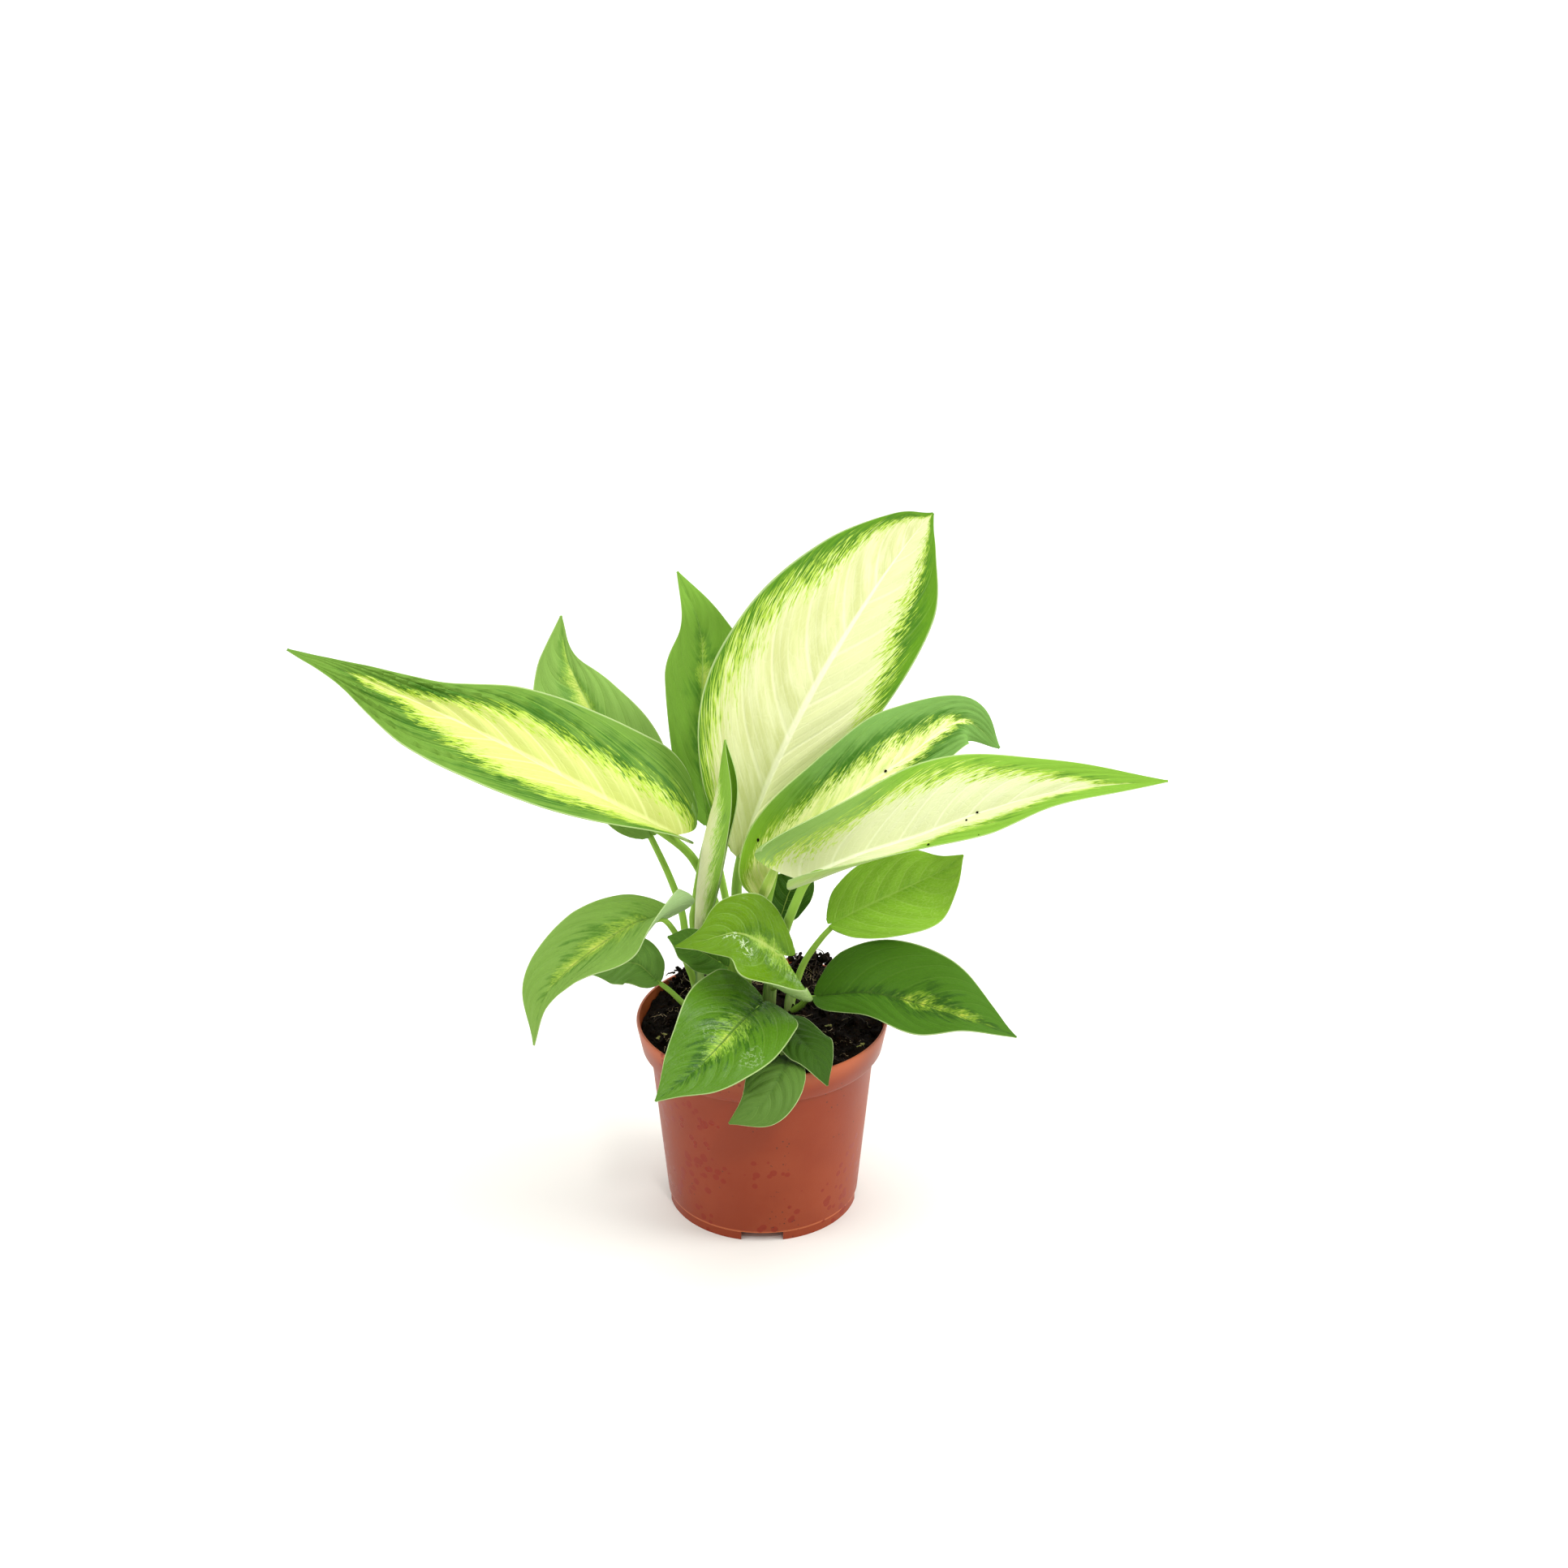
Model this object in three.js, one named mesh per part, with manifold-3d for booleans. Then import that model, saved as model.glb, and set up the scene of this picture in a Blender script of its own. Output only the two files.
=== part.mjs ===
// A young variegated dieffenbachia in a round plastic nursery pot.
// Millimetres, +Z up, the origin on the pot's axis where it stands, -Y towards the viewer.
import * as THREE from 'three';
import { mergeVertices } from 'three/addons/utils/BufferGeometryUtils.js';
import Module from 'manifold-3d';

const wasm = await Module();
wasm.setup();

// Pot: radii are outside radii, heights are above the ground.
const potHeight = 98;
const potFootRadius = 46.2;
const potFootHeight = 4.4;
const potFootStep = 0.5;
const potWallTopRadius = 53.6;
const rimRadius = 60;
const rimBandRadius = 57.2;
const rimBandHeight = 15.5;
const rimLip = 1.4;
const potWall = 1.0;
const potSides = 40;
const channelWidth = 20;
const channelCount = 4;
const groundRingWidth = 7;
const centreDiscRadius = 14;
const drainHoleRadius = 4;
const drainHoleDistance = 30;
const shoulder = 1;
const rounding = 0.4;
const raisedBelow = 1;

// Soil, which fills the pot to its wall and reaches over the ledge under the rim.
const soilLevel = 93;
const soilGap = 0.3;
const soilBottom = potFootHeight + potWall + soilGap;
const soilRings = 6;
const soilSectors = 28;
const soilRoughness = 1.6;
// Heaps on the soil: centre x and y, height and spread.
const soilHeaps = [[24, 40, 8, 11.4], [-34, 32, 5, 9.5]];

// Leaves
const bladeThickness = 0.8;
const seatGap = 0.3;
const ribShare = 0.5;
const ribEndRadius = 0.55;
const baseRound = 0.1;
const lobeTurn = 0.85 * Math.PI;
const tipHalfWidth = 0.6;
const fullWaveWidth = 12;
const flatBend = 1e-4;
const stalkSides = 6;
const stalkSteps = 2;
const stemSides = 10;
const stemSteps = 2;

const finish = {
  pot: { color: 0xb35c40, roughness: 0.55 },
  soil: { color: 0x241a13, roughness: 1.0 },
  stem: { color: 0x8fb04e, roughness: 0.5 },
  greenLeaf: { color: 0x4f8f2c, roughness: 0.45 },
  creamLeaf: { color: 0xc9dc7c, roughness: 0.45 },
};

const radians = THREE.MathUtils.degToRad;

// Closed solids

function solidOf(geometry) {
  const bare = geometry.clone();
  bare.deleteAttribute('normal');
  bare.deleteAttribute('uv');
  const merged = mergeVertices(bare, 1e-4);
  return new wasm.Manifold(new wasm.Mesh({
    numProp: 3,
    vertProperties: new Float32Array(merged.attributes.position.array),
    triVerts: new Uint32Array(merged.index.array),
  }));
}

function geometryOf(solid) {
  const mesh = solid.getMesh();
  const positions = new Float32Array(mesh.numVert * 3);
  for (let i = 0; i < mesh.numVert; i += 1) {
    positions.set(mesh.vertProperties.subarray(i * mesh.numProp, i * mesh.numProp + 3), i * 3);
  }
  const geometry = new THREE.BufferGeometry();
  geometry.setAttribute('position', new THREE.BufferAttribute(positions, 3));
  geometry.setIndex(new THREE.BufferAttribute(mesh.triVerts, 1));
  geometry.computeVertexNormals();
  return geometry;
}

function largestBody(solid) {
  return solid.decompose().sort((a, b) => b.volume() - a.volume())[0];
}

function meshGeometry(points, triangles) {
  const geometry = new THREE.BufferGeometry();
  geometry.setAttribute('position', new THREE.Float32BufferAttribute(points.flat(), 3));
  geometry.setIndex(triangles.flat());
  return geometry;
}

// A turned solid from an outline of [radius, height] points.
function turned(outline, sides) {
  const points = outline.map(([radius, height]) => new THREE.Vector2(radius, height));
  return solidOf(new THREE.LatheGeometry(points, sides).rotateX(Math.PI / 2));
}

function box(width, depth, low, high, x = 0, y = 0, angle = 0) {
  const geometry = new THREE.BoxGeometry(width, depth, high - low);
  return solidOf(geometry.translate(x, y, (low + high) / 2).rotateZ(angle));
}

// A tapering round stalk along a smooth line through the points, or with grow the space round it.
function stalkSolid(points, radiusAt, sides = stalkSides, stepsPerSpan = stalkSteps, grow = 0) {
  const curve = new THREE.CatmullRomCurve3(points.map((p) => new THREE.Vector3(...p)));
  const steps = (points.length - 1) * stepsPerSpan;
  const frames = curve.computeFrenetFrames(steps, false);
  const ring = [];
  for (let i = 0; i <= steps; i += 1) {
    const centre = curve.getPointAt(i / steps);
    const beyond = (i === steps ? grow : 0) - (i === 0 ? grow : 0);
    centre.addScaledVector(frames.tangents[i], beyond);
    const radius = radiusAt(i / steps) + grow;
    for (let k = 0; k < sides; k += 1) {
      const turn = (k / sides) * Math.PI * 2;
      const point = centre.clone()
        .addScaledVector(frames.normals[i], radius * Math.cos(turn))
        .addScaledVector(frames.binormals[i], radius * Math.sin(turn));
      ring.push(point.toArray());
    }
  }
  const triangles = [];
  for (let i = 0; i < steps; i += 1) {
    for (let k = 0; k < sides; k += 1) {
      const a = i * sides + k;
      const b = i * sides + ((k + 1) % sides);
      triangles.push([a, b, a + sides], [b, b + sides, a + sides]);
    }
  }
  const end = (t, beyond) => {
    return curve.getPointAt(t).addScaledVector(curve.getTangentAt(t), beyond).toArray();
  };
  const first = ring.push(end(0, -grow)) - 1;
  const last = ring.push(end(1, grow)) - 1;
  for (let k = 0; k < sides; k += 1) {
    const next = (k + 1) % sides;
    triangles.push([first, next, k], [last, steps * sides + k, steps * sides + next]);
  }
  return solidOf(meshGeometry(ring, triangles));
}

// Leaf blades

// The smooth value at u, from 0 to 1, through evenly spaced stations of numbers or points.
function along(stations, u) {
  if (!Array.isArray(stations)) return stations;
  if (Array.isArray(stations[0])) {
    return stations[0].map((_, axis) => along(stations.map((s) => s[axis]), u));
  }
  const last = stations.length - 1;
  const i = Math.min(Math.floor(u * last), last - 1);
  const t = u * last - i;
  const at = (k) => {
    if (k < 0) return 2 * stations[0] - stations[1];
    if (k > last) return 2 * stations[last] - stations[last - 1];
    return stations[k];
  };
  const [a, b, c, d] = [at(i - 1), at(i), at(i + 1), at(i + 2)];
  return b + 0.5 * t * (c - a + t * (2 * a - 5 * b + 4 * c - d + t * (3 * (b - c) + d - a)));
}

// The half width at u, rounded off at the blade's base to the share that the leaf keeps there.
function halfWidth(leaf, side, u) {
  const opened = Math.sqrt(1 - (1 - Math.min(u / baseRound, 1)) ** 2);
  const share = THREE.MathUtils.lerp(leaf.baseShare, 1, opened);
  return Math.max(along(leaf.half[side], u) * share, tipHalfWidth);
}

// The rib's direction, the blade's right and the way its upper side faces, at u.
function bladeAxes(leaf, u) {
  const step = 0.01;
  const before = new THREE.Vector3(...along(leaf.rib, Math.max(0, u - step)));
  const after = new THREE.Vector3(...along(leaf.rib, Math.min(1, u + step)));
  const forward = after.sub(before).normalize();
  const face = new THREE.Vector3(...along(leaf.faces, u));
  const right = new THREE.Vector3().crossVectors(forward, face).normalize();
  return { forward, right, up: new THREE.Vector3().crossVectors(right, forward) };
}

// A point of the blade's middle surface: u from the base to the tip, s from -1 (left) to 1 (right).
function bladePoint(leaf, u, s) {
  const { forward, right, up } = bladeAxes(leaf, u);
  const side = s < 0 ? 0 : 1;
  const reach = Math.abs(s);
  const width = halfWidth(leaf, side, u);
  const lift = radians(along(leaf.lift[side], u));
  const curl = radians(along(leaf.curl[side], u)) || flatBend;
  const end = lift + curl * reach;
  const ripple = Math.sin(Math.PI * leaf.waves * u + side * 2) * reach ** 2;
  const wave = leaf.wave * ripple * Math.min(1, width / fullWaveWidth);
  const across = width * (Math.sin(end) - Math.sin(lift)) / curl - wave * Math.sin(end);
  const rise = width * (Math.cos(lift) - Math.cos(end)) / curl + wave * Math.cos(end);
  const swept = leaf.sweep * width * reach ** 2 * 4 * u * (1 - u);
  const shift = swept - leaf.lobe[side] * Math.sin(lobeTurn * reach) * (1 - u) ** 5;
  return new THREE.Vector3(...along(leaf.rib, u))
    .addScaledVector(right, across * (side ? 1 : -1))
    .addScaledVector(up, rise)
    .addScaledVector(forward, shift);
}

function bladeSolid(leaf) {
  const [stations, lanes] = leaf.cells;
  const middle = [];
  for (let i = 0; i <= stations; i += 1) {
    const u = 0.5 * (i / stations) + 0.5 * (0.5 - 0.5 * Math.cos(Math.PI * i / stations));
    const row = [];
    for (let j = 0; j <= lanes; j += 1) row.push(bladePoint(leaf, u, (2 * j) / lanes - 1));
    middle.push(row);
  }
  const count = (stations + 1) * (lanes + 1);
  const index = (i, j) => i * (lanes + 1) + j;
  const points = new Array(2 * count);
  for (let i = 0; i <= stations; i += 1) {
    for (let j = 0; j <= lanes; j += 1) {
      const lengthwise = middle[Math.min(i + 1, stations)][j].clone().sub(middle[Math.max(i - 1, 0)][j]);
      const crosswise = middle[i][Math.min(j + 1, lanes)].clone().sub(middle[i][Math.max(j - 1, 0)]);
      const normal = crosswise.cross(lengthwise).normalize().multiplyScalar(bladeThickness / 2);
      points[index(i, j)] = middle[i][j].clone().add(normal).toArray();
      points[count + index(i, j)] = middle[i][j].clone().sub(normal).toArray();
    }
  }
  const triangles = [];
  const quad = (a, b, c, d) => triangles.push([a, b, c], [a, c, d]);
  for (let i = 0; i < stations; i += 1) {
    for (let j = 0; j < lanes; j += 1) {
      const [a, b, c, d] = [index(i, j), index(i, j + 1), index(i + 1, j + 1), index(i + 1, j)];
      quad(a, b, c, d);
      triangles.push([count + a, count + c, count + b], [count + a, count + d, count + c]);
    }
  }
  for (let i = 0; i < stations; i += 1) {
    const [a, b] = [index(i, 0), index(i + 1, 0)];
    quad(a, b, count + b, count + a);
    const [c, d] = [index(i, lanes), index(i + 1, lanes)];
    quad(d, c, count + c, count + d);
  }
  for (let j = 0; j < lanes; j += 1) {
    const [a, b] = [index(0, j), index(0, j + 1)];
    quad(b, a, count + a, count + b);
    const [c, d] = [index(stations, j), index(stations, j + 1)];
    quad(c, d, count + d, count + c);
  }
  return solidOf(meshGeometry(points, triangles));
}

// The stalk and the thick rib that it runs on into under the blade.
function stalkLine(leaf) {
  const points = [...leaf.stalk];
  for (const u of [0.02, 0.17, 0.33, ribShare]) {
    const radius = THREE.MathUtils.lerp(leaf.thick[1], ribEndRadius, u / ribShare);
    const { up } = bladeAxes(leaf, u);
    points.push(new THREE.Vector3(...along(leaf.rib, u)).addScaledVector(up, 0.2 - radius).toArray());
  }
  return points;
}

function stalkRadius(leaf) {
  const joint = leaf.stalk.length / (leaf.stalk.length + 3);
  return (t) => (t < joint
    ? THREE.MathUtils.lerp(leaf.thick[0], leaf.thick[1], t / joint)
    : THREE.MathUtils.lerp(leaf.thick[1], ribEndRadius, (t - joint) / (1 - joint)));
}

const plainLeaf = {
  sweep: 0.25, wave: 1.0, waves: 5, lobe: [3, 3], baseShare: 0.15,
  thick: [1.8, 1.3], cells: [10, 6], cream: false,
  lift: [[20, 14, 8], [20, 14, 8]], curl: [[-10, -10, -5], [-10, -10, -5]],
};

// Stems, each a short cane that its leaves' stalks clasp: foot and top points, radii at both ends.
const stems = {
  stem_left: { line: [[-30, 7, 60], [-30, 7, 93], [-31, 8, 122]], thick: [4.0, 3.0] },
  stem_middle: { line: [[-8, 17, 60], [-9, 17, 93], [-10, 15, 122]], thick: [5.0, 4.2] },
  stem_right: { line: [[3, 17, 60], [3, 17, 93], [5, 15, 116]], thick: [3.8, 3.0] },
  stem_far_right: { line: [[13, 13, 60], [13, 13, 93], [14, 13, 103]], thick: [3.0, 2.4] },
  stem_front: { line: [[-2, -6, 60], [-2, -6, 93], [-1, -7, 104]], thick: [3.4, 2.6] },
};

// Leaves: the stalk's points from the stem's axis to the blade, then the rib's from base to tip.
// faces: the way the upper side looks, from base to tip. half: widths of the left and right halves.
// lift and curl: each half's slope where it leaves the rib and how much it bends on, in degrees.
const leaves = {
  leaf_top: {
    stem: 'stem_middle', cream: true, cells: [14, 8], thick: [3.2, 2.2],
    stalk: [[-10, 16, 112], [-10, 19, 132], [-12, 18, 156]],
    rib: [[-10, 16, 176], [8, 24, 219], [27, 32, 256], [50, 43, 292], [68, 51, 316], [78, 54, 327]],
    faces: [[-0.1, -0.92, 0.35], [-0.2, -0.85, 0.48], [-0.3, -0.8, 0.55]],
    half: [[12, 43, 45, 32, 15, 0.4], [9, 24, 33, 30, 13, 0.4]],
    lift: [[25, 18, 8], [8, -6, 0]],
  },
  leaf_left: {
    stem: 'stem_middle', cream: true, cells: [14, 8], thick: [2.6, 2.0],
    stalk: [[-9, 16.5, 100], [-16, 13, 122], [-19, 15, 138], [-25, 18, 155], [-33, 15, 174]],
    rib: [
      [-41, 10, 187], [-73, -2, 211], [-109, -12, 238], [-142, -18, 259], [-177, -23, 278], [-202, -24, 289],
    ],
    faces: [[0.2, -0.6, 0.7], [0.3, -0.7, 0.6], [0.2, -0.7, 0.65]],
    half: [[24, 31, 33, 26, 8, 0.4], [38, 38, 29, 14, 5, 0.4]],
    lift: [[70, 30, 10], [15, 0, 0]], lobe: [8, 10], baseShare: 0.4,
  },
  leaf_back_left: {
    stem: 'stem_left', thick: [2.0, 1.5],
    stalk: [[-31, 8, 104], [-35.5, 12, 124], [-38, 16, 144], [-44, 20, 162]],
    rib: [[-53, 24, 183], [-66, 33, 212], [-80, 38, 240], [-89, 36, 264], [-90, 28, 287]],
    faces: [[0.4, -0.75, 0.5], [0.45, -0.85, 0.3], [0.3, -0.9, -0.2]],
    half: [[18, 27, 29, 15, 0.4], [18, 23, 15, 4, 0.4]],
  },
  leaf_back: {
    stem: 'stem_middle', thick: [2.2, 1.6],
    stalk: [[-9, 17, 96], [-13, 26, 120], [-20, 38, 153]],
    rib: [[-26, 44, 180], [-30, 50, 211], [-28, 56, 246], [-29, 56, 273], [-38, 46, 302]],
    faces: [[0.15, -0.95, 0.2], [0.05, -0.98, 0.1], [0.4, -0.9, -0.2]],
    half: [[8, 13, 18, 9, 0.4], [10, 22, 24, 12, 0.4]],
  },
  leaf_arching: {
    stem: 'stem_middle', cream: true, cells: [14, 8], thick: [2.8, 2.0],
    stalk: [[-9, 16, 104], [-4, 9, 126], [0, 5, 144]],
    rib: [[2, 4, 160], [11, 5, 184], [36, 7, 204], [64, 12, 223], [91, 18, 240], [109, 16, 228]],
    faces: [[-0.6, -0.7, 0.2], [-0.4, -0.8, 0.4], [-0.3, -0.8, 0.5]],
    half: [[21, 22, 24, 24, 12, 0.4], [15, 16, 17, 15, 11, 0.4]],
    lift: [[20, 20, 10, 0], [20, 20, 10, 5]], curl: [[110, 40, -10, -10], [110, 60, 0, -10]],
  },
  leaf_right: {
    stem: 'stem_right', cream: true, cells: [14, 8], thick: [2.6, 2.0],
    stalk: [[4, 16, 108], [9, 5, 134], [15, -12, 161]],
    rib: [
      [18, -21, 178.5], [43, -25, 192.5], [70, -25, 202], [98, -24, 213], [133, -25, 224], [179, -26, 229],
    ],
    faces: [[-0.35, -0.7, 0.6], [-0.35, -0.75, 0.55], [-0.2, -0.7, 0.7]],
    half: [[36, 27, 31, 27, 14, 0.4], [14, 18, 18, 17, 10, 0.4]],
    lift: [[-8, 5, 0], [20, 50, 35]], curl: [[135, -5, 0], [120, -10, -10]], lobe: [14, 5], baseShare: 0.85,
  },
  leaf_right_small: {
    stem: 'stem_far_right',
    stalk: [[13.5, 13, 96], [19, 12, 117], [27, 12, 131]],
    rib: [[34, 12, 141], [50, 12, 150], [69, 14, 159], [84, 14, 167], [94, 12, 176]],
    faces: [[-0.35, -0.7, 0.6], [-0.1, -0.9, 0.35], [-0.4, -0.85, 0.3]],
    half: [[10, 19, 18, 8, 0.4], [8, 19, 22, 12, 0.4]],
  },
  leaf_right_low: {
    stem: 'stem_far_right',
    stalk: [[13, 13, 92], [18, 8, 98], [22, 4, 104]],
    rib: [[27, 0, 108], [50, -12, 116], [72, -24, 117], [94, -34, 115], [117, -40, 108]],
    faces: [[-0.4, -0.4, 0.8], [-0.15, -0.4, 0.9], [0.3, -0.1, 0.95]],
    half: [[16, 28, 26, 17, 0.4], [10, 14, 19, 11, 0.4]],
  },
  leaf_left_low: {
    stem: 'stem_left',
    stalk: [[-31, 8, 108], [-36, 2, 126], [-39, -6, 142]],
    rib: [
      [-43, -11, 155], [-57, -16, 155], [-72, -21, 147], [-89, -24, 134], [-101, -26, 119], [-106, -28, 97],
    ],
    faces: [[0.1, -0.15, 1], [-0.35, -0.55, 0.76], [-0.7, -0.7, 0.2]],
    half: [[19, 19, 16, 8, 4, 0.4], [8, 18, 22, 20, 12, 0.4]],
    lift: [[80, 16, 12, 10, 8], [20, 14, 8]], curl: [[20, -10, -10, -5], [-10, -10, -5]],
    lobe: [12, 4], baseShare: 0.7,
  },
  leaf_left_behind: {
    stem: 'stem_left', cells: [8, 4], thick: [1.6, 1.1],
    stalk: [[-30.2, 7, 94], [-37, 4, 101], [-44, 5, 108]],
    rib: [[-51, 6, 114], [-60, 8, 121], [-71, 9, 119], [-83, 8, 116]],
    faces: [[0, -0.6, 0.8], [-0.1, -0.6, 0.8], [-0.3, -0.6, 0.7]],
    half: [[8, 13, 9, 0.4], [8, 13, 9, 0.4]],
  },
  leaf_spear: {
    stem: 'stem_left', cream: true, cells: [10, 8], thick: [2.6, 2.0],
    stalk: [[-31, 8, 112], [-31, 8, 128]],
    rib: [[-31, 7, 142], [-29, 4, 165], [-25, 1, 191], [-19, -1, 216], [-16, -2, 239]],
    faces: [[0.7, -0.7, 0.0], [0.7, -0.7, 0.0], [0.7, -0.7, 0.1]],
    half: [[9, 16, 18, 13, 0.4], [8, 15, 15, 10, 0.4]],
    lift: [[15, 15, 15], [15, 15, 15]], curl: [[150, 140, 110], [150, 130, 60]], wave: 0,
  },
  leaf_curled: {
    stem: 'stem_right', cells: [12, 8],
    stalk: [[4, 16, 103], [10, 5, 115], [12, -9, 127]],
    rib: [[10, -16, 138], [-2, -20, 148], [-12, -23, 153], [-25, -26, 151], [-39, -27, 148]],
    faces: [[0.2, -0.75, 0.6], [0.1, -0.75, 0.65], [0, -0.7, 0.7]],
    half: [[33, 25, 14, 6, 0.4], [7, 19, 16, 6, 0.4]],
    lift: [[-20, 0, 5], [20, 14, 8]], curl: [[140, 20, 0], [-10, -10, -5]], lobe: [20, 5], baseShare: 0.75,
  },
  leaf_front: {
    stem: 'stem_front', cells: [12, 8],
    stalk: [[-1.5, -6, 98], [0, -12, 108]],
    rib: [[0, -20, 115], [-10, -40, 115], [-21, -60, 112], [-33, -75, 107], [-46, -88, 103]],
    faces: [[0.4, -0.35, 0.85], [0.25, -0.3, 0.9], [0, -0.3, 0.95]],
    half: [[22, 25, 22, 12, 0.4], [24, 27, 20, 12, 0.4]],
    lift: [[28, 18, 8], [20, 14, 8]],
  },
  leaf_front_right: {
    stem: 'stem_front', cells: [8, 4], thick: [1.5, 1.1],
    stalk: [[-1.5, -7, 96], [4, -12, 102]],
    rib: [[9, -18, 106], [17, -36, 106], [24, -50, 104], [30, -63, 96]],
    lift: [[5, 5, 5], [5, 5, 5]],
    faces: [[0.2, -0.4, 0.9], [0.2, -0.4, 0.9], [0.2, -0.4, 0.9]],
    half: [[8, 13, 9, 0.4], [8, 13, 9, 0.4]],
  },
  leaf_front_low: {
    stem: 'stem_front', cells: [8, 6], thick: [1.5, 1.1],
    stalk: [[-2, -7, 90], [3, -24, 95], [9, -36, 98]],
    rib: [[12, -45, 100], [9, -61, 101], [1, -76, 95], [-14, -84, 89]],
    faces: [[-0.1, -0.5, 0.85], [-0.1, -0.6, 0.8], [0, -0.8, 0.6]],
    half: [[5, 12, 11, 0.4], [7, 14, 10, 0.4]],
    lift: [[0, 0, 0], [0, 0, 0]],
  },
  leaf_behind_stalk: {
    stem: 'stem_right', cells: [8, 4], thick: [1.5, 1.1],
    stalk: [[3, 17, 100], [7, 22, 120]],
    rib: [[9, 23, 139], [12, 23, 149], [15, 22, 159], [15, 19, 169]],
    faces: [[0.1, -0.9, 0.3], [0.1, -0.9, 0.3], [0.1, -0.9, 0.3]],
    half: [[7, 11, 9, 0.4], [7, 11, 9, 0.4]],
  },
  leaf_tucked: {
    stem: 'stem_middle', cells: [8, 4], thick: [1.5, 1.1],
    stalk: [[-9, 15, 100], [-14, 3, 114]],
    rib: [[-18, -6, 128], [-27, -10, 136], [-35, -14, 143], [-43, -17, 148]],
    faces: [[-0.2, -0.7, 0.7], [-0.2, -0.7, 0.7], [-0.2, -0.7, 0.7]],
    half: [[7, 10, 8, 0.4], [6, 9, 7, 0.4]],
  },
};

// Noise with a fixed seed, from 0 to 1.
function seeded(seed) {
  let state = seed;
  return () => {
    state = (state * 1664525 + 1013904223) % 4294967296;
    return state / 4294967296;
  };
}

// The pot's inside, from its floor to its rim, as [radius, height] points.
function potInside() {
  const bandBottom = potHeight - rimBandHeight;
  const floorTop = potFootHeight + potWall;
  const wallFoot = potFootRadius + potFootStep;
  return [
    [wallFoot - potWall - shoulder, floorTop], [wallFoot - potWall, floorTop + shoulder],
    [potWallTopRadius - potWall, bandBottom - shoulder],
    [rimBandRadius - rounding, bandBottom + 3 * shoulder], [rimRadius - rimLip, potHeight],
  ];
}

function potSolid() {
  const bandBottom = potHeight - rimBandHeight;
  const ringInside = potFootRadius - groundRingWidth;
  const wallFoot = potFootRadius + potFootStep;
  const underside = potFootHeight - raisedBelow;
  const outline = [
    [0, 0], [centreDiscRadius, 0], [centreDiscRadius + shoulder, underside],
    [ringInside - shoulder, underside], [ringInside, 0], [potFootRadius, 0],
    [potFootRadius, potFootHeight], [wallFoot, potFootHeight + rounding],
    [potWallTopRadius, bandBottom - rounding], [rimBandRadius - shoulder, bandBottom],
    [rimBandRadius + rounding, bandBottom + 2 * shoulder],
    [rimRadius, potHeight - shoulder], [rimRadius - rounding, potHeight],
    ...potInside().reverse(), [0, potFootHeight + potWall],
  ];
  let pot = turned(outline, potSides);
  for (let k = 0; k < channelCount; k += 1) {
    const angle = (k / channelCount) * Math.PI * 2 + Math.PI / 2;
    const length = rimRadius - centreDiscRadius;
    const middle = (rimRadius + centreDiscRadius) / 2;
    pot = pot.subtract(box(length, channelWidth, -1, potFootHeight, middle, 0, angle));
    const hole = solidOf(new THREE.CylinderGeometry(drainHoleRadius, drainHoleRadius, 20, 16)
      .rotateX(Math.PI / 2).translate(drainHoleDistance, 0, 0).rotateZ(angle + Math.PI / 4));
    pot = pot.subtract(hole);
  }
  return pot;
}

// The height of the soil's crumbly top, with low heaps at the back and small lumps all over.
function soilHeight(x, y, random) {
  const heaps = soilHeaps.reduce((sum, [cx, cy, height, spread]) => {
    return sum + height * Math.exp(-((x - cx) ** 2 + (y - cy) ** 2) / (2 * spread ** 2));
  }, 0);
  const lumps = 0.9 * Math.sin(x * 0.31) * Math.cos(y * 0.27) + 0.7 * Math.sin(x * 0.17 + y * 0.43);
  return soilLevel + heaps + lumps + soilRoughness * (random() - 0.5);
}

function soilSolid() {
  const random = seeded(7);
  const flat = Math.cos(Math.PI / potSides);
  const inside = potInside().map(([radius, height]) => [radius * flat - soilGap, height + soilGap]);
  const wall = inside.slice(0, -1).reverse();
  const [[ledge, ledgeHeight], [rim, rimHeight]] = [wall[0], inside[wall.length]];
  const climbed = (soilLevel - soilRoughness - ledgeHeight) / (rimHeight - ledgeHeight);
  const edge = THREE.MathUtils.lerp(ledge, rim, climbed);
  const points = [[0, 0, soilHeight(0, 0, random)]];
  const addRing = (radius, heightAt, half) => {
    for (let k = 0; k < soilSectors; k += 1) {
      const turn = ((k + half) / soilSectors) * Math.PI * 2;
      const [x, y] = [radius * Math.cos(turn), radius * Math.sin(turn)];
      points.push([x, y, heightAt(x, y)]);
    }
  };
  for (let r = 1; r <= soilRings; r += 1) {
    addRing(edge * (r / soilRings), (x, y) => soilHeight(x, y, random), (r % 2) / 2);
  }
  for (const [radius, height] of wall) addRing(radius, () => height, (soilRings % 2) / 2);
  const centre = points.push([0, 0, soilBottom]) - 1;
  const rings = soilRings + wall.length;
  const ring = (r, k) => 1 + (r - 1) * soilSectors + (k % soilSectors);
  const triangles = [];
  for (let k = 0; k < soilSectors; k += 1) {
    triangles.push([0, ring(1, k), ring(1, k + 1)], [centre, ring(rings, k + 1), ring(rings, k)]);
  }
  for (let r = 1; r < rings; r += 1) {
    for (let k = 0; k < soilSectors; k += 1) {
      const [a, b, c, d] = [ring(r, k), ring(r, k + 1), ring(r + 1, k), ring(r + 1, k + 1)];
      if (r < soilRings && r % 2 === 0) triangles.push([a, c, b], [b, c, d]);
      else triangles.push([a, c, d], [a, d, b]);
    }
  }
  return solidOf(meshGeometry(points, triangles));
}

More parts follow.
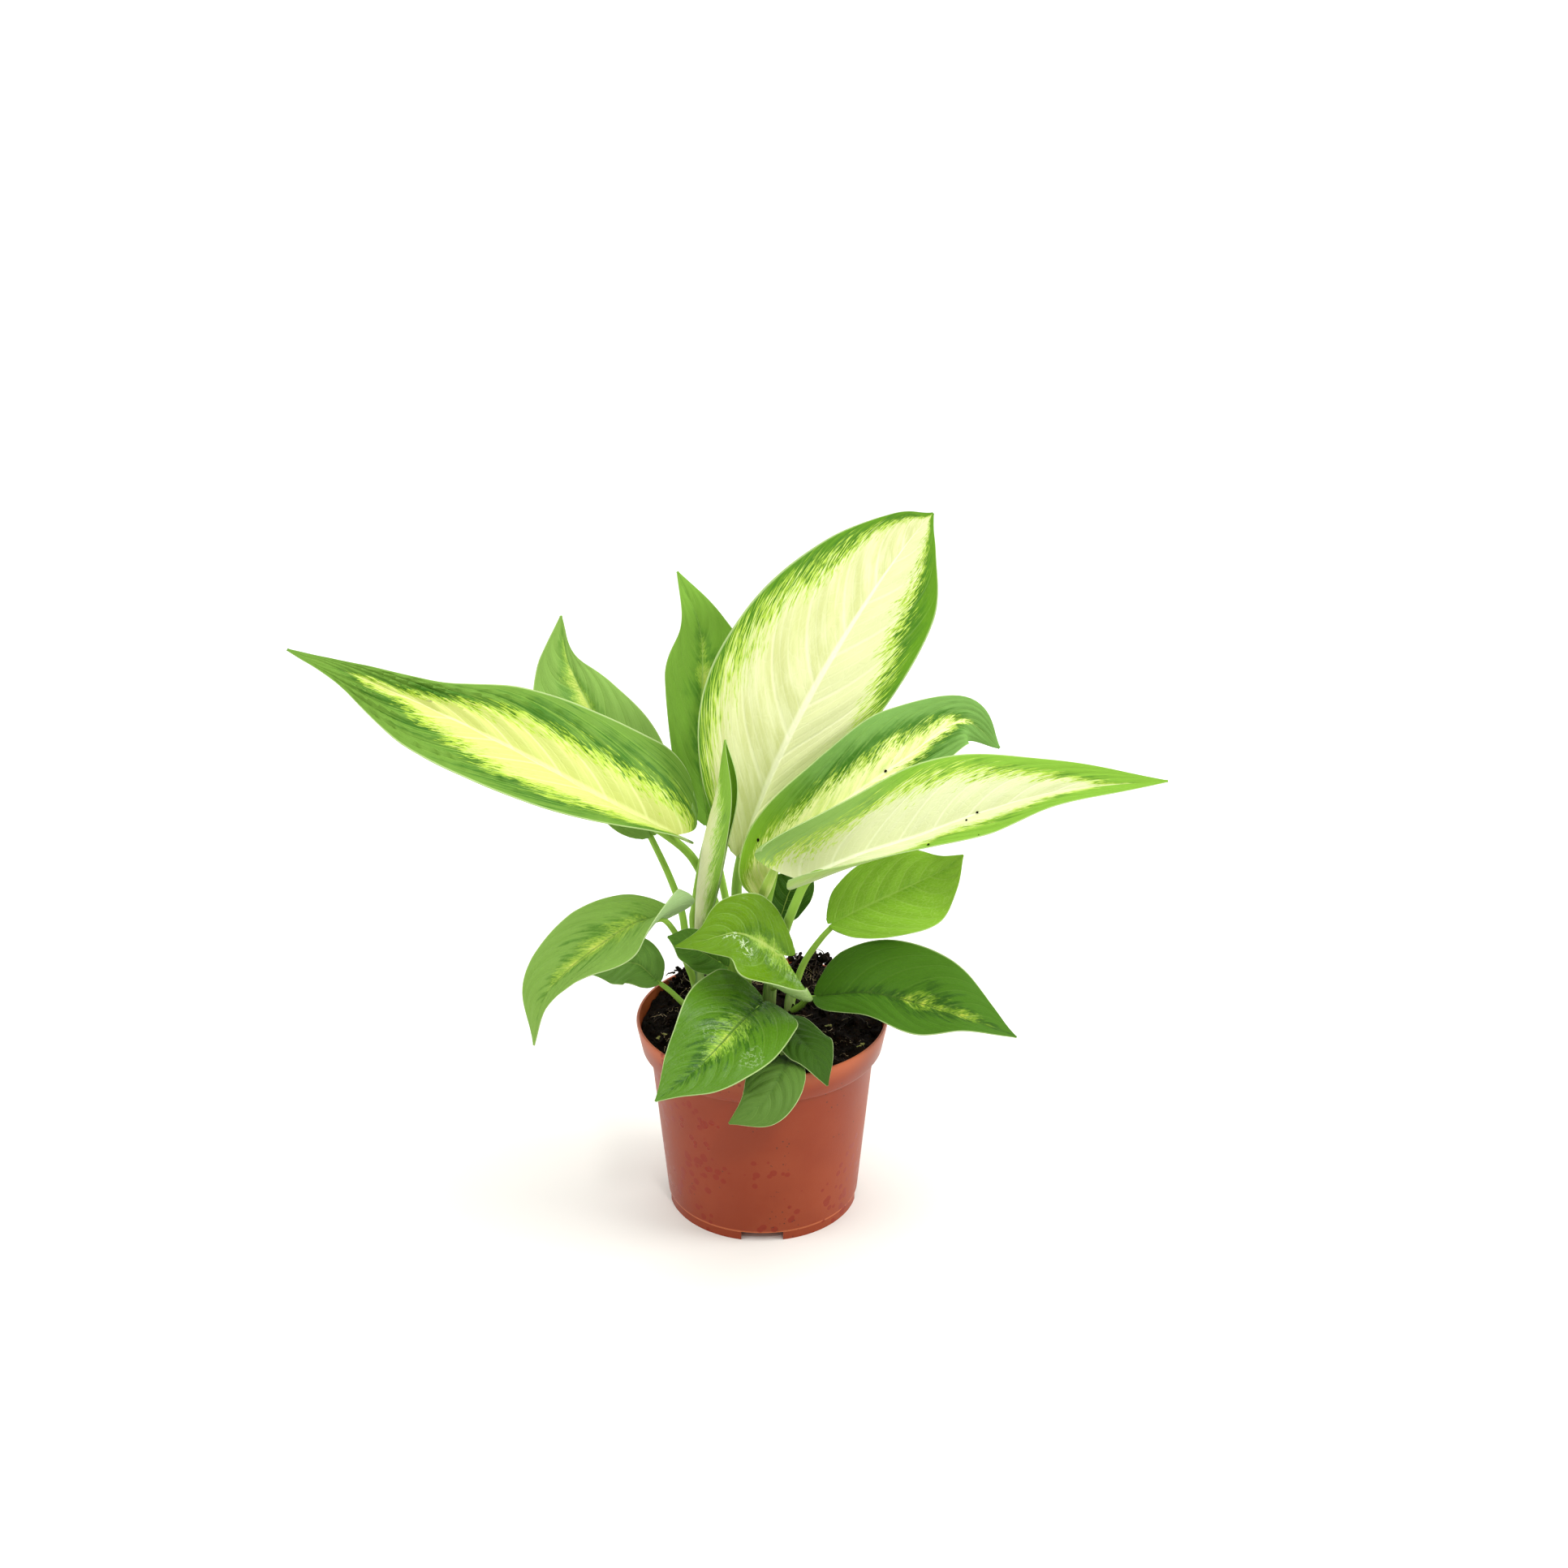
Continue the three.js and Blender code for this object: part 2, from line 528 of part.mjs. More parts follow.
function stemSolid(stem, grow = 0) {
  const radiusAt = (t) => THREE.MathUtils.lerp(stem.thick[0], stem.thick[1], t);
  return stalkSolid(stem.line, radiusAt, stemSides, stemSteps, grow);
}

const plant = new THREE.Group();

function addNode(name, solid, look) {
  const material = new THREE.MeshStandardMaterial({ ...look, metalness: 0 });
  const mesh = new THREE.Mesh(geometryOf(solid), material);
  mesh.name = name;
  plant.add(mesh);
}

addNode('pot', potSolid(), finish.pot);

let soil = soilSolid();
for (const stem of Object.values(stems)) soil = soil.subtract(stemSolid(stem, soilGap));

for (const [name, stem] of Object.entries(stems)) addNode(name, stemSolid(stem), finish.stem);

for (const [name, own] of Object.entries(leaves)) {
  const leaf = { ...plainLeaf, ...own };
  const stalk = stalkSolid(stalkLine(leaf), stalkRadius(leaf));
  const seat = stemSolid(stems[leaf.stem], seatGap);
  const whole = bladeSolid(leaf).add(stalk).subtract(seat);
  soil = soil.subtract(stalkSolid(stalkLine(leaf), stalkRadius(leaf), stalkSides, stalkSteps, soilGap));
  addNode(name, largestBody(whole), leaf.cream ? finish.creamLeaf : finish.greenLeaf);
}

addNode('soil', largestBody(soil), finish.soil);

export default plant;
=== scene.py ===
import math
import random

import bmesh
import bpy
from mathutils import Matrix, Vector, noise


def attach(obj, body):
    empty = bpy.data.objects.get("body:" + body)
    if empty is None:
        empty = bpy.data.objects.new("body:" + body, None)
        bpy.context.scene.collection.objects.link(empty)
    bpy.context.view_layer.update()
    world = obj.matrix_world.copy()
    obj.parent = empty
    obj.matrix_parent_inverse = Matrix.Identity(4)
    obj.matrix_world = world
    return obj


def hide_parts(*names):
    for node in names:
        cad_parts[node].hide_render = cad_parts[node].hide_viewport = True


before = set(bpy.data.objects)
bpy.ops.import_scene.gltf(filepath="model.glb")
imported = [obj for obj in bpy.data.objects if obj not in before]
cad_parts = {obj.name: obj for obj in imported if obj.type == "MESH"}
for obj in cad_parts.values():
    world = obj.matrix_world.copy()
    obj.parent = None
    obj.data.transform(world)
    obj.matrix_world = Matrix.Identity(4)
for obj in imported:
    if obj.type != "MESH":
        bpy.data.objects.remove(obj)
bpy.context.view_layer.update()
print("frame loaded")

mm = 0.001  # the plant's sizes are in millimetres, and the stage's in metres
scene = bpy.context.scene


# Node helpers

def screenColor(red, green, blue):  # 0 to 255, as read on a screen
    linear = [((v / 255 + 0.055) / 1.055) ** 2.4 if v > 10 else v / 255 / 12.92 for v in (red, green, blue)]
    return (*linear, 1.0)


def join(tree, socket, value):  # a socket takes a link, anything else is set as its value
    if isinstance(value, bpy.types.NodeSocket):
        tree.links.new(value, socket)
    else:
        socket.default_value = value


def calc(tree, operation, *values):
    node = tree.nodes.new("ShaderNodeMath")
    node.operation = operation
    for socket, value in zip(node.inputs, values):
        join(tree, socket, value)
    return node.outputs[0]


def plus(tree, first, second):
    return calc(tree, "ADD", first, second)


def minus(tree, first, second):
    return calc(tree, "SUBTRACT", first, second)


def times(tree, first, second):
    return calc(tree, "MULTIPLY", first, second)


def spread(tree, value, low, high, first=0.0, last=1.0):  # a smooth step between two values
    node = tree.nodes.new("ShaderNodeMapRange")
    node.interpolation_type = "SMOOTHSTEP"
    names = ("Value", "From Min", "From Max", "To Min", "To Max")
    for name, given in zip(names, (value, low, high, first, last)):
        join(tree, node.inputs[name], given)
    return node.outputs["Result"]


def blendColor(tree, share, first, second):
    node = tree.nodes.new("ShaderNodeMix")
    node.data_type = "RGBA"
    for k, value in zip((0, 6, 7), (share, first, second)):  # where this node has its colour sockets
        join(tree, node.inputs[k], value)
    return node.outputs[2]


def splitVector(tree, vector):
    node = tree.nodes.new("ShaderNodeSeparateXYZ")
    join(tree, node.inputs[0], vector)
    return node.outputs


def packVector(tree, x, y, z):
    node = tree.nodes.new("ShaderNodeCombineXYZ")
    for socket, value in zip(node.inputs, (x, y, z)):
        join(tree, socket, value)
    return node.outputs[0]


def noiseAt(tree, vector, scale, detail=3.0, roughness=0.55):
    node = tree.nodes.new("ShaderNodeTexNoise")
    join(tree, node.inputs["Vector"], vector)
    node.inputs["Scale"].default_value = scale
    node.inputs["Detail"].default_value = detail
    node.inputs["Roughness"].default_value = roughness
    return node.outputs[0]


def cellsAt(tree, vector, scale, feature="F1"):
    node = tree.nodes.new("ShaderNodeTexVoronoi")
    node.feature = feature
    join(tree, node.inputs["Vector"], vector)
    node.inputs["Scale"].default_value = scale
    return node.outputs["Distance"]


def bumpFrom(tree, height, strength, distance):
    node = tree.nodes.new("ShaderNodeBump")
    join(tree, node.inputs["Height"], height)
    node.inputs["Strength"].default_value = strength
    node.inputs["Distance"].default_value = distance
    return node.outputs["Normal"]


def objectPlace(tree):
    return tree.nodes.new("ShaderNodeTexCoord").outputs["Object"]


def storedValue(tree, name):
    node = tree.nodes.new("ShaderNodeAttribute")
    node.attribute_name = name
    return node.outputs["Fac"]


def newMaterial(name, **shaderValues):
    material = bpy.data.materials.new(name)
    material.use_nodes = True
    shader = material.node_tree.nodes["Principled BSDF"]
    for label, value in shaderValues.items():
        shader.inputs[label.replace("_", " ")].default_value = value
    return material, material.node_tree, shader


def startGroup(name, inputs, outputs):
    group = bpy.data.node_groups.new(name, "ShaderNodeTree")
    for label, value in inputs.items():
        socket = group.interface.new_socket(label, in_out="INPUT", socket_type="NodeSocketFloat")
        socket.default_value = value
    for label in outputs:
        group.interface.new_socket(label, in_out="OUTPUT", socket_type="NodeSocketFloat")
    entry = group.nodes.new("NodeGroupInput").outputs
    finish = group.nodes.new("NodeGroupOutput").inputs
    return group, entry, finish


def placeGroup(tree, group, **values):
    node = tree.nodes.new("ShaderNodeGroup")
    node.node_tree = group
    for label, value in values.items():
        join(tree, node.inputs[label], value)
    return node.outputs


# Mesh helpers

def pieceName(node):  # leaf_top becomes leafTop
    first, *rest = node.split("_")
    return first + "".join(word.capitalize() for word in rest)


def toMetres(bm):
    bmesh.ops.scale(bm, vec=(mm, mm, mm), verts=bm.verts)


def finishPiece(name, bm, material, replaced, sharpAngle):
    mesh = bpy.data.meshes.new(name)
    bm.to_mesh(mesh)
    bm.free()
    mesh.materials.append(material)
    mesh.shade_smooth()
    mesh.set_sharp_from_angle(angle=math.radians(sharpAngle))
    piece = bpy.data.objects.new(name, mesh)
    scene.collection.objects.link(piece)
    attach(piece, "root")
    if replaced:
        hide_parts(*replaced)
    return piece


def along(stations, u):  # the smooth value at u, 0 to 1, through evenly spaced numbers or points
    if isinstance(stations[0], (list, tuple)):
        return Vector([along([point[axis] for point in stations], u) for axis in range(3)])
    last = len(stations) - 1
    i = min(int(u * last), last - 1)
    t = u * last - i
    b, c = stations[i], stations[i + 1]
    a = stations[i - 1] if i > 0 else 2 * b - c
    d = stations[i + 2] if i + 2 <= last else 2 * c - b
    return b + 0.5 * t * (c - a + t * (2 * a - 5 * b + 4 * c - d + t * (3 * (b - c) + d - a)))


def mixed(first, second, share):
    return first + (second - first) * share


def addTube(bm, centres, radii, sides, marks):  # a closed round tube, extruded ring by ring
    turn = bm.verts.layers.float["turn"]
    cap = bmesh.ops.create_circle(bm, segments=sides, radius=1.0, cap_ends=True)["verts"]
    for vert in cap:
        vert[turn] = math.atan2(vert.co.y, vert.co.x)
        for layer, value in marks.items():
            vert[layer] = value
    edges = list({edge for vert in cap for edge in vert.link_edges})
    ring = cap
    side = (centres[1] - centres[0]).orthogonal().normalized()
    for i, (centre, radius) in enumerate(zip(centres, radii)):
        if i:
            grown = bmesh.ops.extrude_edge_only(bm, edges=edges)["geom"]
            ring = [item for item in grown if isinstance(item, bmesh.types.BMVert)]
            edges = [item for item in grown if isinstance(item, bmesh.types.BMEdge)
                     and item.verts[0] in ring and item.verts[1] in ring]
        ahead = (centres[min(i + 1, len(centres) - 1)] - centres[max(i - 1, 0)]).normalized()
        side = (side - ahead * side.dot(ahead)).normalized()
        other = ahead.cross(side)
        for vert in ring:
            vert.co = centre + (side * math.cos(vert[turn]) + other * math.sin(vert[turn])) * radius
    bmesh.ops.contextual_create(bm, geom=edges)


# Pot

pot = {
    "height": 98, "footRadius": 46.2, "footHeight": 4.4, "footStep": 0.5, "wallTopRadius": 53.6,
    "rimRadius": 60, "rimBandRadius": 57.2, "rimBandHeight": 15.5, "rimLip": 1.4, "wall": 1.0,
    "channelWidth": 20, "channels": 4, "groundRing": 7, "discRadius": 14, "raised": 1,
    "holeRadius": 4, "holeDistance": 30, "holeLength": 20, "holeSides": 32, "shoulder": 1, "rounding": 0.4,
    "sides": 192, "wallRows": 7, "sharpAngle": 35,
    "cloudScale": 18, "grainScale": 900, "spotScale": 40, "smallDropScale": 200, "largeDropScale": 90,
    "speckScale": 420, "speckPatchScale": 60,
    # The rim band turns paler towards its top: a painted highlight
    "rimHighlightFrom": 86.5, "rimHighlightTo": 97.5, "rimHighlightShare": 0.5,
    # A pale line round the foot's step: a painted highlight
    "footHighlightLevels": [3.9, 4.4, 5.2, 5.7], "footHighlightShare": 0.7, "dropShare": 0.75, "speckShare": 0.85,
    "specular": 0.28, "roughness": (0.33, 0.45), "dropGloss": 0.08, "bump": (0.25, 0.0004),
    "color": screenColor(132, 47, 12), "pale": screenColor(190, 104, 62), "damp": screenColor(128, 27, 0),
    "speck": screenColor(62, 32, 20),
}


def potInside():  # from its floor to its rim
    band = pot["height"] - pot["rimBandHeight"]
    wallFoot, edge = pot["footRadius"] + pot["footStep"] - pot["wall"], pot["shoulder"]
    floorTop = pot["footHeight"] + pot["wall"]
    return [
        (wallFoot - edge, floorTop), (wallFoot, floorTop + edge),
        (pot["wallTopRadius"] - pot["wall"], band - edge),
        (pot["rimBandRadius"] - pot["rounding"], band + 3 * edge),
        (pot["rimRadius"] - pot["rimLip"], pot["height"]),
    ]


def potOutline():
    band = pot["height"] - pot["rimBandHeight"]
    foot, edge, small = pot["footHeight"], pot["shoulder"], pot["rounding"]
    wallFoot = pot["footRadius"] + pot["footStep"]
    ringInside = pot["footRadius"] - pot["groundRing"]
    under = foot - pot["raised"]
    high = pot["height"]
    return [
        (0, 0), (pot["discRadius"], 0), (pot["discRadius"] + edge, under), (ringInside - edge, under),
        (ringInside, 0), (pot["footRadius"], 0), (pot["footRadius"], foot), (wallFoot, foot + small),
        (pot["wallTopRadius"], band - small), (pot["rimBandRadius"] - edge, band),
        (pot["rimBandRadius"] + small, band + 2 * edge), (pot["rimRadius"], high - edge),
        (pot["rimRadius"] - small, high), *reversed(potInside()), (0, foot + pot["wall"]),
    ]


def cutterPiece(bm):
    mesh = bpy.data.meshes.new("potCutter")
    bm.to_mesh(mesh)
    bm.free()
    cutter = bpy.data.objects.new("potCutter", mesh)
    scene.collection.objects.link(cutter)
    return cutter


def potCutters():  # the water channels across the foot and the drain holes between them
    bm = bmesh.new()
    length = pot["rimRadius"] - pot["discRadius"]
    middle = (pot["rimRadius"] + pot["discRadius"]) / 2
    for k in range(pot["channels"]):
        angle = math.tau * k / pot["channels"] + math.pi / 2
        spin = Matrix.Rotation(angle, 4, "Z")
        block = bmesh.ops.create_cube(bm, size=1.0)["verts"]
        size = Vector((length, pot["channelWidth"], pot["footHeight"] + 1)) * mm
        bmesh.ops.scale(bm, vec=size, verts=block)
        place = Vector((middle, 0, (pot["footHeight"] - 1) / 2)) * mm
        bmesh.ops.transform(bm, matrix=spin @ Matrix.Translation(place), verts=block)
        radius = pot["holeRadius"] * mm
        hole = bmesh.ops.create_cone(bm, cap_ends=True, segments=pot["holeSides"], radius1=radius,
                                     radius2=radius, depth=pot["holeLength"] * mm)["verts"]
        between = Matrix.Rotation(angle + math.pi / pot["channels"], 4, "Z")
        outwards = Matrix.Translation((pot["holeDistance"] * mm, 0, 0))
        bmesh.ops.transform(bm, matrix=between @ outwards, verts=hole)
    return cutterPiece(bm)


def potMaterial():
    material, tree, shader = newMaterial("pottedTerracotta", Specular_IOR_Level=pot["specular"])
    place = objectPlace(tree)
    split = splitVector(tree, place)
    height = split["Z"]
    clouds = noiseAt(tree, place, pot["cloudScale"], 4)
    fine = noiseAt(tree, place, pot["grainScale"], 2)
    color = blendColor(tree, spread(tree, clouds, 0.35, 0.8, 0.0, 0.18), pot["color"], pot["pale"])
    # Painted highlight: the rim band paler towards its top
    highlightFrom, highlightTo = pot["rimHighlightFrom"] * mm, pot["rimHighlightTo"] * mm
    rimHighlight = spread(tree, height, highlightFrom, highlightTo, 0.0, pot["rimHighlightShare"])
    color = blendColor(tree, rimHighlight, color, pot["pale"])
    # Painted highlight: a pale line round the foot's step
    low, lowFull, highFull, high = [level * mm for level in pot["footHighlightLevels"]]
    ring = times(tree, spread(tree, height, low, lowFull), spread(tree, height, high, highFull))
    color = blendColor(tree, times(tree, ring, pot["footHighlightShare"]), color, pot["pale"])

    # Drops, mostly low and on the left, and dark specks of soil
    spots = noiseAt(tree, place, pot["spotScale"], 1)
    lower = spread(tree, height, 0.085, 0.01, -0.06, 0.05)
    leftward = spread(tree, split["X"], 0.04, -0.05, -0.05, 0.03)
    wetness = plus(tree, spots, plus(tree, lower, leftward))
    dropSize = spread(tree, wetness, 0.45, 0.64, 0.0, 0.4)
    small = spread(tree, minus(tree, dropSize, cellsAt(tree, place, pot["smallDropScale"])), 0.0, 0.06)
    largeSize = times(tree, dropSize, 0.6)
    large = spread(tree, minus(tree, largeSize, cellsAt(tree, place, pot["largeDropScale"])), 0.0, 0.03)
    dampMask = calc(tree, "MAXIMUM", small, large)
    color = blendColor(tree, times(tree, dampMask, pot["dropShare"]), color, pot["damp"])
    specks = cellsAt(tree, place, pot["speckScale"])
    rare = spread(tree, noiseAt(tree, place, pot["speckPatchScale"], 2), 0.55, 0.62)
    speckMask = times(tree, spread(tree, specks, 0.2, 0.12), rare)
    color = blendColor(tree, times(tree, speckMask, pot["speckShare"]), color, pot["speck"])
    join(tree, shader.inputs["Base Color"], color)
    roughness = spread(tree, clouds, 0.3, 0.7, *pot["roughness"])
    roughness = minus(tree, roughness, times(tree, dampMask, pot["dropGloss"]))
    join(tree, shader.inputs["Roughness"], roughness)
    relief = plus(tree, times(tree, fine, 0.3), times(tree, dampMask, 0.15))
    join(tree, shader.inputs["Normal"], bumpFrom(tree, relief, *pot["bump"]))
    return material


def makePot():
    bm = bmesh.new()
    points = [bm.verts.new(Vector((radius, 0, height)) * mm) for radius, height in potOutline()]
    lines = [bm.edges.new(pair) for pair in zip(points[:-1], points[1:])]
    wallLine = lines[7]  # the outside, from the foot to the rim band
    bmesh.ops.bisect_edges(bm, edges=[wallLine], cuts=pot["wallRows"] - 1)
    bmesh.ops.spin(bm, geom=bm.verts[:] + bm.edges[:], axis=(0, 0, 1), cent=(0, 0, 0), angle=math.tau,
                   steps=pot["sides"], use_merge=True)
    bmesh.ops.remove_doubles(bm, verts=bm.verts, dist=1e-6)
    bmesh.ops.recalc_face_normals(bm, faces=bm.faces)
    piece = finishPiece("nurseryPot", bm, potMaterial(), ["pot"], pot["sharpAngle"])
    cutter = potCutters()
    cut = piece.modifiers.new("channels", "BOOLEAN")
    cut.object = cutter
    cut.solver = "EXACT"
    view = bpy.context.evaluated_depsgraph_get()
    shaped = bpy.data.meshes.new_from_object(piece.evaluated_get(view))
    piece.modifiers.clear()
    piece.data = shaped
    shaped.set_sharp_from_angle(angle=math.radians(pot["sharpAngle"]))
    bpy.data.objects.remove(cutter)


makePot()
print("pot made")


# Leaf material

# How the lateral veins bend, the same for the mesh and the colours
veinBend = {"near": 0.65, "far": 0.45, "farPower": 4, "sideShift": 0.4}

veinGroup, veinIn, veinOut = startGroup(
    "leafVeins", {"Across": 0, "Along": 0, "Veins": 9, "Lean": 0.3, "Rib": 0.07},
    ["Reach", "Path", "Vein Lines", "Rib Line", "Net"],
)


def buildVeinGroup(tree):  # lateral veins leave the rib and bend towards the tip
    reach = calc(tree, "ABSOLUTE", veinIn["Across"])
    steep = times(tree, calc(tree, "POWER", reach, float(veinBend["farPower"])), veinBend["far"])
    bent = times(tree, plus(tree, times(tree, reach, veinBend["near"]), steep), veinIn["Lean"])
    path = minus(tree, veinIn["Along"], bent)
    side = calc(tree, "GREATER_THAN", veinIn["Across"], 0.0)
    count = plus(tree, times(tree, path, veinIn["Veins"]), times(tree, side, veinBend["sideShift"]))
    inside = calc(tree, "FRACT", plus(tree, count, 8.0))
    ridge = times(tree, calc(tree, "ABSOLUTE", minus(tree, inside, 0.5)), 2.0)
    fade = spread(tree, reach, 1.0, 0.82)
    major = times(tree, spread(tree, ridge, 0.84, 0.99), fade)
    half = calc(tree, "FRACT", times(tree, plus(tree, count, 8.0), 4.0))
    minorRidge = times(tree, calc(tree, "ABSOLUTE", minus(tree, half, 0.5)), 2.0)
    minor = times(tree, spread(tree, minorRidge, 0.7, 0.98), times(tree, fade, 0.35))
    width = times(tree, veinIn["Rib"], spread(tree, veinIn["Along"], 1.0, 0.0, 0.25, 1.4))
    rib = spread(tree, reach, width, times(tree, width, 0.35))
    spot = packVector(tree, times(tree, reach, 0.45), path, side)
    net = cellsAt(tree, spot, 34, "DISTANCE_TO_EDGE")
    join(tree, veinOut["Reach"], reach)
    join(tree, veinOut["Path"], path)
    join(tree, veinOut["Vein Lines"], calc(tree, "MAXIMUM", major, minor))
    join(tree, veinOut["Rib Line"], rib)
    join(tree, veinOut["Net"], spread(tree, net, 0.09, 0.01))


buildVeinGroup(veinGroup)

featherGroup, featherIn, featherOut = startGroup(
    "leafFeather",
    {"Reach": 0, "Path": 0, "Edge": 0.5, "Ragged": 0.5, "Flecks": 0.8, "Soft": 0.12, "Seed": 0},
    ["Inside"],
)


def buildFeatherGroup(tree):  # a boundary torn into streaks that follow the lateral veins
    def streaks(acrossScale, pathScale, detail):
        vector = packVector(tree, times(tree, featherIn["Reach"], acrossScale),
                            times(tree, featherIn["Path"], pathScale), featherIn["Seed"])
        return minus(tree, noiseAt(tree, vector, 1.0, detail, 0.6), 0.5)

    fine = times(tree, streaks(9.0, 95.0, 4), 0.8)
    broad = times(tree, streaks(2.5, 13.0, 3), 1.3)
    torn = times(tree, plus(tree, fine, broad), featherIn["Ragged"])
    inner = minus(tree, plus(tree, featherIn["Edge"], torn), featherIn["Reach"])
    flecks = times(tree, streaks(17.0, 120.0, 3), featherIn["Flecks"])
    near = spread(tree, calc(tree, "ABSOLUTE", inner), 0.4, 0.05)
    inner = plus(tree, inner, times(tree, flecks, near))
    soft = featherIn["Soft"]
    join(tree, featherOut["Inside"], spread(tree, inner, times(tree, soft, -1.0), soft))


buildFeatherGroup(featherGroup)

leafShades = {  # as read on a screen
    "deep": (52, 108, 30), "green": (88, 148, 44), "bright": (150, 196, 58),
    "cream": (240, 244, 176), "stain": (208, 218, 128), "creamVein": (206, 220, 128),
    "rib": (190, 212, 112), "vein": (140, 182, 76), "under": (134, 170, 92),
    # The near white at the end of the next line is the colour of painted highlights
    "stalk": (146, 184, 68), "margin": (190, 208, 146), "base": (140, 186, 44), "wet": (224, 238, 198),
}
leafFinish = {
    "cloudScale": 55, "wetScale": 120, "highlightTraceScale": 240, "dentScale": 330,
    "streakAcross": 3.0, "streakAlong": 30.0, "stalkStreaks": 9.0,
    "creamOffset": 0.3, "margin": (0.972, 0.992, 0.0, 0.6),  # from, to and shares, the leaf's edge being 1
    "veinDepth": -0.7, "netDepth": -0.2, "wetHeight": 0.6, "bump": (0.4, 0.0007),
}


def edgeRamp(tree, value, stops):  # how far the cream reaches from the rib, given at places along the leaf
    node = tree.nodes.new("ShaderNodeValToRGB")
    elements = node.color_ramp.elements
    while len(elements) < len(stops):
        elements.new(0.5)
    while len(elements) > len(stops):
        elements.remove(elements[-1])
    for element, (place, share) in zip(elements, stops):
        element.position = place
        element.color = (share, share, share, 1.0)
    join(tree, node.inputs[0], value)
    return node.outputs[0]


def leafMaterial(name, look, seed):
    shades = {label: screenColor(*color) for label, color in {**leafShades, **look["shades"]}.items()}
    material, tree, shader = newMaterial(name, Specular_IOR_Level=look["shine"])
    leafMap = tree.nodes.new("ShaderNodeUVMap")
    leafMap.uv_map = "leafMap"
    split = splitVector(tree, leafMap.outputs[0])
    across = minus(tree, times(tree, split["X"], 2.0), 1.0)
    u = split["Y"]
    veins = placeGroup(tree, veinGroup, Across=across, Along=u, Veins=float(look["veins"]),
                       Lean=look["lean"], Rib=look["ribWidth"])
    reach, path = veins["Reach"], veins["Path"]
    right = calc(tree, "GREATER_THAN", across, 0.0)
    leftEdge, rightEdge = edgeRamp(tree, u, look["creamLeft"]), edgeRamp(tree, u, look["creamRight"])
    edge = minus(tree, blendColor(tree, right, leftEdge, rightEdge), leafFinish["creamOffset"])
    inside = placeGroup(tree, featherGroup, Reach=reach, Path=path, Edge=edge, Ragged=look["ragged"],
                        Flecks=look["flecks"], Soft=look["soft"], Seed=float(seed))["Inside"]
    place = objectPlace(tree)
    clouds = noiseAt(tree, place, leafFinish["cloudScale"], 3)
    streaks = noiseAt(tree, packVector(tree, times(tree, reach, leafFinish["streakAcross"]),
                                       times(tree, path, leafFinish["streakAlong"]), float(seed)), 1.0, 4)

    # Green: deep near the cream or the rib, lighter towards the margin
    beyond = minus(tree, reach, edge)
    lighter = plus(tree, times(tree, beyond, 1.2), minus(tree, clouds, 0.55))
    lighter = plus(tree, lighter, times(tree, minus(tree, streaks, 0.5), look["variety"]))
    green = blendColor(tree, spread(tree, lighter, look["deepTo"], look["deepTo"] + 0.5), shades["deep"],
                       shades["green"])
    newest = times(tree, spread(tree, u, 0.42, 0.12), look["baseTint"])
    green = blendColor(tree, newest, green, shades["base"])

    # Cream, with greenish stains between the veins; a larger share on one half is partly painted shade on
    # that half
    leftStainAndShade, rightStainAndShade = look["stain"]
    stainAndShadeShare = plus(tree, times(tree, right, rightStainAndShade - leftStainAndShade), leftStainAndShade)
    stainedAndShaded = times(tree, spread(tree, streaks, 0.34, 0.64), stainAndShadeShare)
    cream = blendColor(tree, stainedAndShaded, shades["cream"], shades["stain"])
    middle = blendColor(tree, spread(tree, inside, 0.02, 0.5), green, shades["bright"])
    color = blendColor(tree, spread(tree, inside, 0.42, 0.98), middle, cream)

    # Veins, rib and margin
    veinColor = blendColor(tree, inside, shades["vein"], shades["creamVein"])
    color = blendColor(tree, times(tree, veins["Net"], look["net"]), color, veinColor)
    color = blendColor(tree, times(tree, veins["Vein Lines"], look["lines"]), color, veinColor)
    ribColor = blendColor(tree, inside if look["cream"] else 0.0, shades["rib"], shades["creamVein"])
    color = blendColor(tree, times(tree, veins["Rib Line"], look["ribShow"]), color, ribColor)
    color = blendColor(tree, spread(tree, reach, *leafFinish["margin"]), color, shades["margin"])

    # Painted highlights, laid on in curled traces
    highlightTraces = calc(tree, "ABSOLUTE", minus(tree, noiseAt(tree, place, leafFinish["highlightTraceScale"], 4, 0.6), 0.5))
    highlightTraceMask = spread(tree, highlightTraces, 0.035, 0.012)
    for centre, height, wide, long, strength in look["highlightPlaces"]:
        offAcross = times(tree, minus(tree, across, centre), 1 / wide)
        offAlong = times(tree, minus(tree, u, height), 1 / long)
        away = plus(tree, calc(tree, "POWER", offAcross, 2.0), calc(tree, "POWER", offAlong, 2.0))
        share = times(tree, highlightTraceMask, spread(tree, away, 1.0, 0.3, 0.0, strength))
        color = blendColor(tree, share, color, shades["wet"])

    # Underside and stalk
    under = storedValue(tree, "under")
    color = blendColor(tree, times(tree, under, look["underGrey"]), color, shades["under"])
    stalk = storedValue(tree, "stalk")
    lines = noiseAt(tree, packVector(tree, times(tree, across, leafFinish["stalkStreaks"]), u, 0.0), 1.0, 3)
    stalkColor = blendColor(tree, spread(tree, lines, 0.35, 0.7), shades["stalk"], shades["vein"])
    color = blendColor(tree, stalk, color, stalkColor)
    join(tree, shader.inputs["Base Color"], color)

